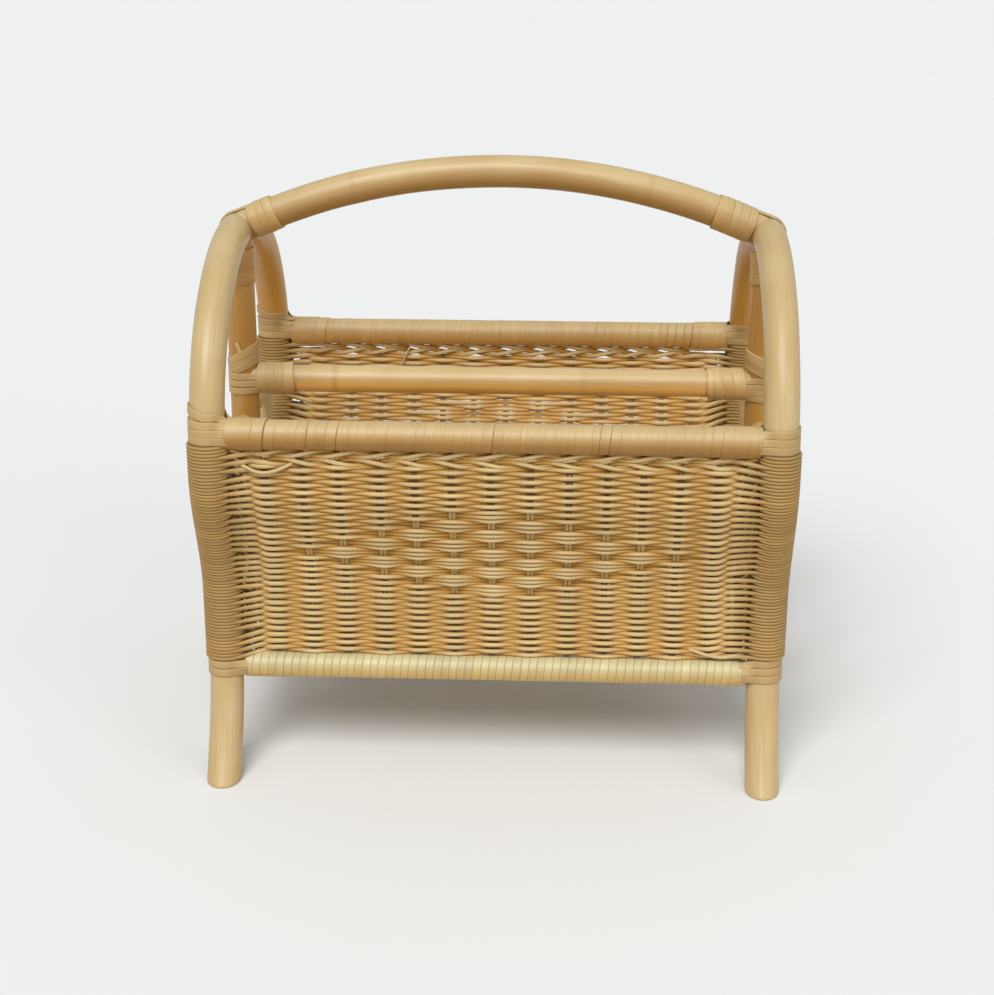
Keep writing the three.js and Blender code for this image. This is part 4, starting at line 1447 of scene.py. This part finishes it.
def makeRailWrap(levelName, faceName):
    wrap, face = railWraps[levelName], faces[faceName]
    dice = random.Random(wrap["seed"] + face)
    height = basket[f"{levelName}RailHeight"]
    reach = reachAt(height)
    left, right = wrap["slope"][faceName]
    first = [wrap["from"] + wrap["lead"] * i for i in range(leadTurns)]
    seams = first + rollSeams(dice, first[-1] + wrap["lead"], wrap["to"], wrap["pitch"], wrap["spread"])
    tones = [tone * wrap["toneSpread"] + wrap["tone"][faceName] for tone in peelTones(dice)]
    tones[:leadTurns] = [tones[0]] * leadTurns
    fits = seamFits(seams, wrap["openSeams"][faceName], wrap["fit"])

    def axisAt(level):
        rise = mix(left, right, (level + halfLength) / (2 * halfLength))
        return Vector((level, face * reach, height + rise)), alongX

    def radiusAt(level):
        return wrap["radius"] + wrapLift(wrap, level)

    band = windOn(axisAt, alongY * -face, radiusAt, seams, tones, fits=fits, sense=-1)
    sizes = {**peelSizes, "shaded": wrap["shaded"][faceName], "glow": wrap["glow"][faceName]}
    name = f"{faceName}_{levelName}_rail_wrap"
    sweepStrands(f"{name}_peel", [band], sweepPeel, sizes, [name], wrap["finish"])


for levelName in railWraps:
    for faceName in faces:
        makeRailWrap(levelName, faceName)
print("rails wrapped")

# The bindings of the handle, the center rail and the posts: the first seam and the others
# from it, as lengths along the pole, then colour with its painted shade, and the room under the strip.
bindings = {
    "handle_binding": {
        "start": 13.2,
        "seams": {"left": [0, 7, 14, 21], "right": [0, 6.2, 12.5, 18.6, 24.8, 31]},
        "pole": "handle",
        "seat": 0.35,
        "paintedShade": 0.0,
        "tone": 0.0,
    },
    "center_rail_binding": {
        "start": 11.5,
        "seams": {"left": [0, 7.2, 14.2, 21.2, 29.2], "right": [0, 9.4, 17.4, 25.2, 29.8]},
        "pole": "centerRail",
        "seat": 0.9,
        "paintedShade": 0.05,
        "tone": 0.16,
    },
    "post_top_binding": {
        "start": 0.0,
        "seams": {"left": [0, 6.4, 15.6, 21.2, 27.6], "right": [0, 5.2, 10.4, 17.2, 24.6]},
        "pole": "post",
        "seat": 0.15,
        "paintedShade": 0.35,
        "tone": 0.06,
    },
}
# Painted bounce light on the bindings' lowest side.
bindingGlow = 0.4
postTop = 371.2
# The turns over the crossing of a post and the center rail.
crossing = {
    "start": 275.6,
    "seams": {"left": [0, 3.4, 6.8, 10.4, 17.6], "right": [0, 3.6, 7.4, 15.8]},
    "tilt": 5.0,
    "seat": 0.15,
}
# Straps round an upright pole and along a rail, each (level, rise at the pole's open side,
# place of the arms round the rail in degrees).
straps = {
    "width": 5.7,
    "thickness": 1.1,
    "seat": 0.1,
    "reach": 34.0,  # length of an arm from the pole's middle
    "near": 6.5,  # where it leaves the rail, from the pole's surface
    "armSteps": 6,
    "turnSteps": 28,
    "top": {
        "left": [(266.9, 0, -14), (272.4, 0, 19), (277.9, 0.6, 52), (283.6, 4.5, 84)],
        "right": [(265.9, 0, -14), (271.6, 0, 20), (277.3, 0.5, 54)],
    },
    "bottom": {
        "left": [(78.4, 0, -14), (84.4, 0, 22)],
        "right": [(81.0, 0, -8), (86.9, 0, 28), (92.8, 0.5, 62)],
    },
    "post": {
        "left": [(259.8, 0, -38), (265.7, 0, -8), (271.3, 0, 22)],
        "right": [(258.9, 0, -50), (263.6, 0, -24), (268.2, 0.8, 2), (273.2, 1.6, 28)],
    },
    "postTone": 0.14,
    "postScale": {"left": 0.92, "right": 0.82},
    "toneSpread": 0.03,
    "clearOfStretcher": 92.0,
    "stretcherEnd": 44,  # degrees round the pole
    "seed": 33,
}
strapSizes = {**peelSizes, "width": straps["width"], "thickness": straps["thickness"]}
strapLift = straps["thickness"] / 2 + straps["seat"]


def makeBindings():
    dice = random.Random(straps["seed"])
    sizes = {**peelSizes, "glow": bindingGlow}
    for sideName, side in sides.items():
        def handleAxis(level, side=side):
            angle = side * (handleHalfAngle - level / handleBend)
            return handleSpot(angle), Vector((-side * math.cos(angle), 0, side * math.sin(angle)))

        def railAxis(level, side=side):
            return Vector((side * (halfLength - level), 0, basket["topRailHeight"])), alongX * -side

        def postAxis(level, side=side):
            return Vector((side * halfLength, 0, postTop - level)), -alongZ

        for name, axisAt, across in (
            ("handle_binding", handleAxis, alongY),
            ("center_rail_binding", railAxis, alongY),
            ("post_top_binding", postAxis, alongX * side),
        ):
            form = bindings[name]
            radius = poles[form["pole"]]["radius"] + form["seat"]
            seams = [form["start"] + seam for seam in form["seams"][sideName]]
            tones = [tone + form["tone"] for tone in peelTones(dice)]
            band = windOn(axisAt, across, lambda level: radius, seams, tones, paintedShade=form["paintedShade"])
            node = f"{sideName}_{name}"
            sweepStrands(f"{node}_peel", [band], sweepPeel, sizes, [node], rattanPeel)
        makeSaddle(sideName, side, handleAxis)
        makePostStraps(sideName, side, dice)
        for faceName, face in faces.items():
            makeCornerStraps(sideName, side, faceName, face, dice)


saddle = {"width": 9.0, "facets": 16, "tail": 27.0, "tailEnd": 15.5, "lastTurn": 214.0, "turnSteps": 24}


# The strap over a crown: its tail lies on the handle under the binding, spans the corner
# between handle and hoop and goes down the hoop's outer side.
def makeSaddle(sideName, side, handleAxis):
    middle = Vector((side * halfLength, 0, crownHeight))
    ring = poles["hoop"]["radius"] + strapLift
    spots, outs = [], []
    for t in shares(straps["armSteps"]):
        point, along = handleAxis(mix(saddle["tail"], saddle["tailEnd"], t))
        up = alongY.cross(along)
        up = up if up.z > 0 else -up
        spots.append(point + up * (poles["handle"]["radius"] + straps["seat"]))
        outs.append(up)
    corner = spots[-1] - middle
    inward = -side * corner.x
    start = math.atan2(corner.z, inward) + math.acos(ring / math.hypot(corner.z, inward))
    tangent = Vector((-side * math.cos(start), 0, math.sin(start)))
    leaving = outs[-1]
    for t in shares(straps["armSteps"])[1:-1]:
        spots.append(middle + corner.lerp(tangent * ring, t))
        outs.append(leaving.lerp(tangent, ease(t)).normalized())
    for t in shares(saddle["turnSteps"]):
        angle = mix(start, math.radians(saddle["lastTurn"]), t)
        out = Vector((-side * math.cos(angle), 0, math.sin(angle)))
        spots.append(middle + out * ring)
        outs.append(out)
    band = strand(spots, outward=outs)
    sizes = {"width": saddle["width"], "thickness": straps["thickness"], "facets": saddle["facets"]}
    name = f"{sideName}_saddle_strap"
    sweepStrands(f"{name}_peel", [band], sweepPeel, sizes, [name], rattanPeel)


# One strap round the open side of an upright pole, both arms lying along the rail behind it.
# pole is {"x", "yAt", "radius"} and rail {"y", "z", "radius"}; ends gives for each way across
# the rail the arm's place round it in degrees, or nothing where the strap stops at a stretcher.
def strapStrand(side, pole, rail, level, rise, ends, tone):
    ring = pole["radius"] + strapLift
    near = pole["radius"] + straps["near"]
    centre = pole["yAt"](level)
    halves = []
    for way in (-1, 1):
        if ends[way] is None:
            halves.append(([], math.radians(straps["stretcherEnd"])))
            continue
        angle = math.radians(ends[way])
        out = Vector((0, way * math.cos(angle), math.sin(angle)))
        seat = out * (rail["radius"] + strapLift)
        arm = []
        for t in shares(straps["armSteps"]):
            back = mix(straps["reach"], near, t)
            arm.append((Vector((pole["x"] - side * back, rail["y"], rail["z"])) + seat, out))
        offset = abs(rail["y"] + seat.y - centre)
        tangent = math.atan2(offset, -near) - math.acos(ring / math.hypot(offset, near))
        ringOut = Vector((side * math.cos(tangent), way * math.sin(tangent), 0))
        first, last = Vector((pole["x"], centre, level)) + ringOut * ring, arm[-1][0]
        for t in shares(straps["armSteps"])[1:-1]:
            arm.append((last.lerp(first, t), out.lerp(ringOut, ease(t)).normalized()))
        halves.append((arm, tangent))
    path = list(halves[0][0])
    for t in shares(straps["turnSteps"]):
        angle = mix(-halves[0][1], halves[1][1], t)
        height = level + rise * max(0.0, math.cos(angle))
        lean = (pole["yAt"](height + 1) - pole["yAt"](height - 1)) / 2
        out = Vector((side * math.cos(angle), math.sin(angle), 0))
        y = pole["yAt"](height) + out.y * ring * levelCut(lean)
        outward = (out - alongZ * lean * out.y).normalized()
        path.append((Vector((pole["x"] + out.x * ring, y, height)), outward))
    path += reversed(halves[1][0])
    spots, outs = zip(*path)
    return strand(list(spots), outward=list(outs), tone=tone)


looseStrip = {
    "turns": [-14, 9],
    "levels": [298.6, 286.5],
    "steps": 8,
    "lift": 0.7,
    "width": 3.0,
    "tone": 0.28,
}


# The narrow end of a strip that lies free on the front of the left post.
def looseEnd(pole):
    spots, outs = [], []
    for t in shares(looseStrip["steps"]):
        angle = math.radians(mix(*looseStrip["turns"], t))
        out = Vector((math.sin(angle), -math.cos(angle), 0))
        level = mix(*looseStrip["levels"], t)
        spots.append(Vector((pole["x"], 0, level)) + out * (pole["radius"] + looseStrip["lift"]))
        outs.append(out)
    scale = looseStrip["width"] / straps["width"]
    return strand(spots, outward=outs, tone=looseStrip["tone"], scale=scale)


def makePostStraps(sideName, side, dice):
    x = side * halfLength
    pole = {"x": x, "yAt": lambda height: 0.0, "radius": poles["post"]["radius"]}
    rail = {"y": 0.0, "z": basket["topRailHeight"], "radius": poles["centerRail"]["radius"]}
    made = []
    for level, rise, angle in straps["post"][sideName]:
        tone = straps["postTone"] + dice.gauss(0, straps["toneSpread"])
        band = strapStrand(side, pole, rail, level, rise, {-1: angle, 1: angle}, tone)
        band["scale"] = [straps["postScale"][sideName]] * len(band["spots"])
        made.append(band)

    def crossAxis(level):
        return Vector((x, 0, crossing["start"] + level)), alongZ

    if sideName == "left":
        made.append(looseEnd(pole))
    radius = pole["radius"] + crossing["seat"]
    tones = [tone + straps["postTone"] for tone in peelTones(dice)]
    tilt = alongX * -side * crossing["tilt"]
    seams = crossing["seams"][sideName]
    made.append(windOn(crossAxis, alongX * side, lambda level: radius, seams, tones, tilt))
    name = f"{sideName}_post_lashing"
    sweepStrands(f"{name}_peel", made, sweepPeel, strapSizes, [name], rattanPeel)


def makeCornerStraps(sideName, side, faceName, face, dice):
    pole = {
        "x": side * halfLength,
        "yAt": lambda height: face * reachAt(height),
        "radius": poles["hoop"]["radius"],
    }
    for levelName, key in (("top", "topRail"), ("bottom", "bottomRail")):
        height = basket[f"{key}Height"]
        rail = {"y": face * reachAt(height), "z": height, "radius": poles[key]["radius"]}
        made = []
        for level, rise, angle in straps[levelName][sideName]:
            free = levelName == "top" or level > straps["clearOfStretcher"]
            ends = {face: angle, -face: angle if free else None}
            tone = dice.gauss(0, straps["toneSpread"])
            made.append(strapStrand(side, pole, rail, level, rise, ends, tone))
        name = f"{sideName}_{faceName}_{levelName}_lashing"
        sweepStrands(f"{name}_peel", made, sweepPeel, strapSizes, [name], rattanPeel)


makeBindings()
print("bindings wound")

for name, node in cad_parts.items():
    if name.endswith("_screw"):
        node.data.materials.clear()
        node.data.materials.append(screwSteel)
print("screws finished")

# Floor, lamps and surroundings.
studio = {
    "floorColor": linear(226, 226, 224),
    "floorVariation": 1.02,
    "floorHalf": 14.0,
    "worldColor": (0.94, 0.97, 1.0, 1.0),
    "worldStrength": 0.55,
    "softness": 34.0,
    "lamps": {
        "key_light": {"strength": 2.3, "from": (-0.25, -1.0, 1.25)},
        "fill_light": {"strength": 0.5, "from": (1.0, -0.9, 0.5)},
    },
}


def paperMaterial():
    paper = bpy.data.materials.new("paperFloor")
    paper.use_nodes = True
    tree = paper.node_tree
    shader = tree.nodes["Principled BSDF"]
    shader.inputs["Roughness"].default_value = 0.9
    shader.inputs["Specular IOR Level"].default_value = 0.1
    spot = place(tree, "ShaderNodeTexCoord", -800, 0)
    fibres = clouds(tree, -600, 0, spot.outputs["Object"], 3.0)
    low = studio["floorColor"]
    high = tuple(value * studio["floorVariation"] for value in low[:3]) + (1.0,)
    feed(tree, shader.inputs["Base Color"], mixColors(tree, -300, 0, fibres, low, high))
    return paper


def makeStudio():
    half = studio["floorHalf"]
    mesh = bpy.data.meshes.new("studio_floor")
    corners = [(-half, -half, 0), (half, -half, 0), (half, half, 0), (-half, half, 0)]
    mesh.from_pydata(corners, [], [(0, 1, 2, 3)])
    mesh.materials.append(paperMaterial())
    floor = bpy.data.objects.new("studio_floor", mesh)
    scene.collection.objects.link(floor)
    world = bpy.data.worlds.new("studioLight")
    world.use_nodes = True
    sky = world.node_tree.nodes["Background"]
    sky.inputs["Color"].default_value = studio["worldColor"]
    sky.inputs["Strength"].default_value = studio["worldStrength"]
    scene.world = world
    for name, form in studio["lamps"].items():
        data = bpy.data.lights.new(name, "SUN")
        data.energy = form["strength"]
        data.angle = math.radians(studio["softness"])
        lamp = bpy.data.objects.new(name, data)
        scene.collection.objects.link(lamp)
        lamp.location = form["from"]
        lamp.rotation_euler = Vector(form["from"]).to_track_quat("Z", "Y").to_euler()
    scene.view_settings.view_transform = "Standard"


# The photograph's camera, in metres.
viewpoint = {
    "place": (0.0529424, -1.3478545, 0.6527325),
    "right": (0.99911031, 0.04211199, 0.00227428),
    "up": (-0.01627771, 0.3353187, 0.94196412),
    "lens": 65.434,
    "film": 36.0,
    "farthest": 60.0,
}


def makeCamera():
    data = bpy.data.cameras.new("photo_camera")
    data.sensor_width = viewpoint["film"]
    data.sensor_fit = "HORIZONTAL"
    data.lens = viewpoint["lens"]
    data.clip_end = viewpoint["farthest"]
    camera = bpy.data.objects.new("photo_camera", data)
    scene.collection.objects.link(camera)
    right, up = Vector(viewpoint["right"]), Vector(viewpoint["up"])
    turn = Matrix((right, up, right.cross(up))).transposed()
    camera.matrix_world = Matrix.Translation(viewpoint["place"]) @ turn.to_4x4()
    scene.camera = camera


makeStudio()
makeCamera()
print("studio ready")
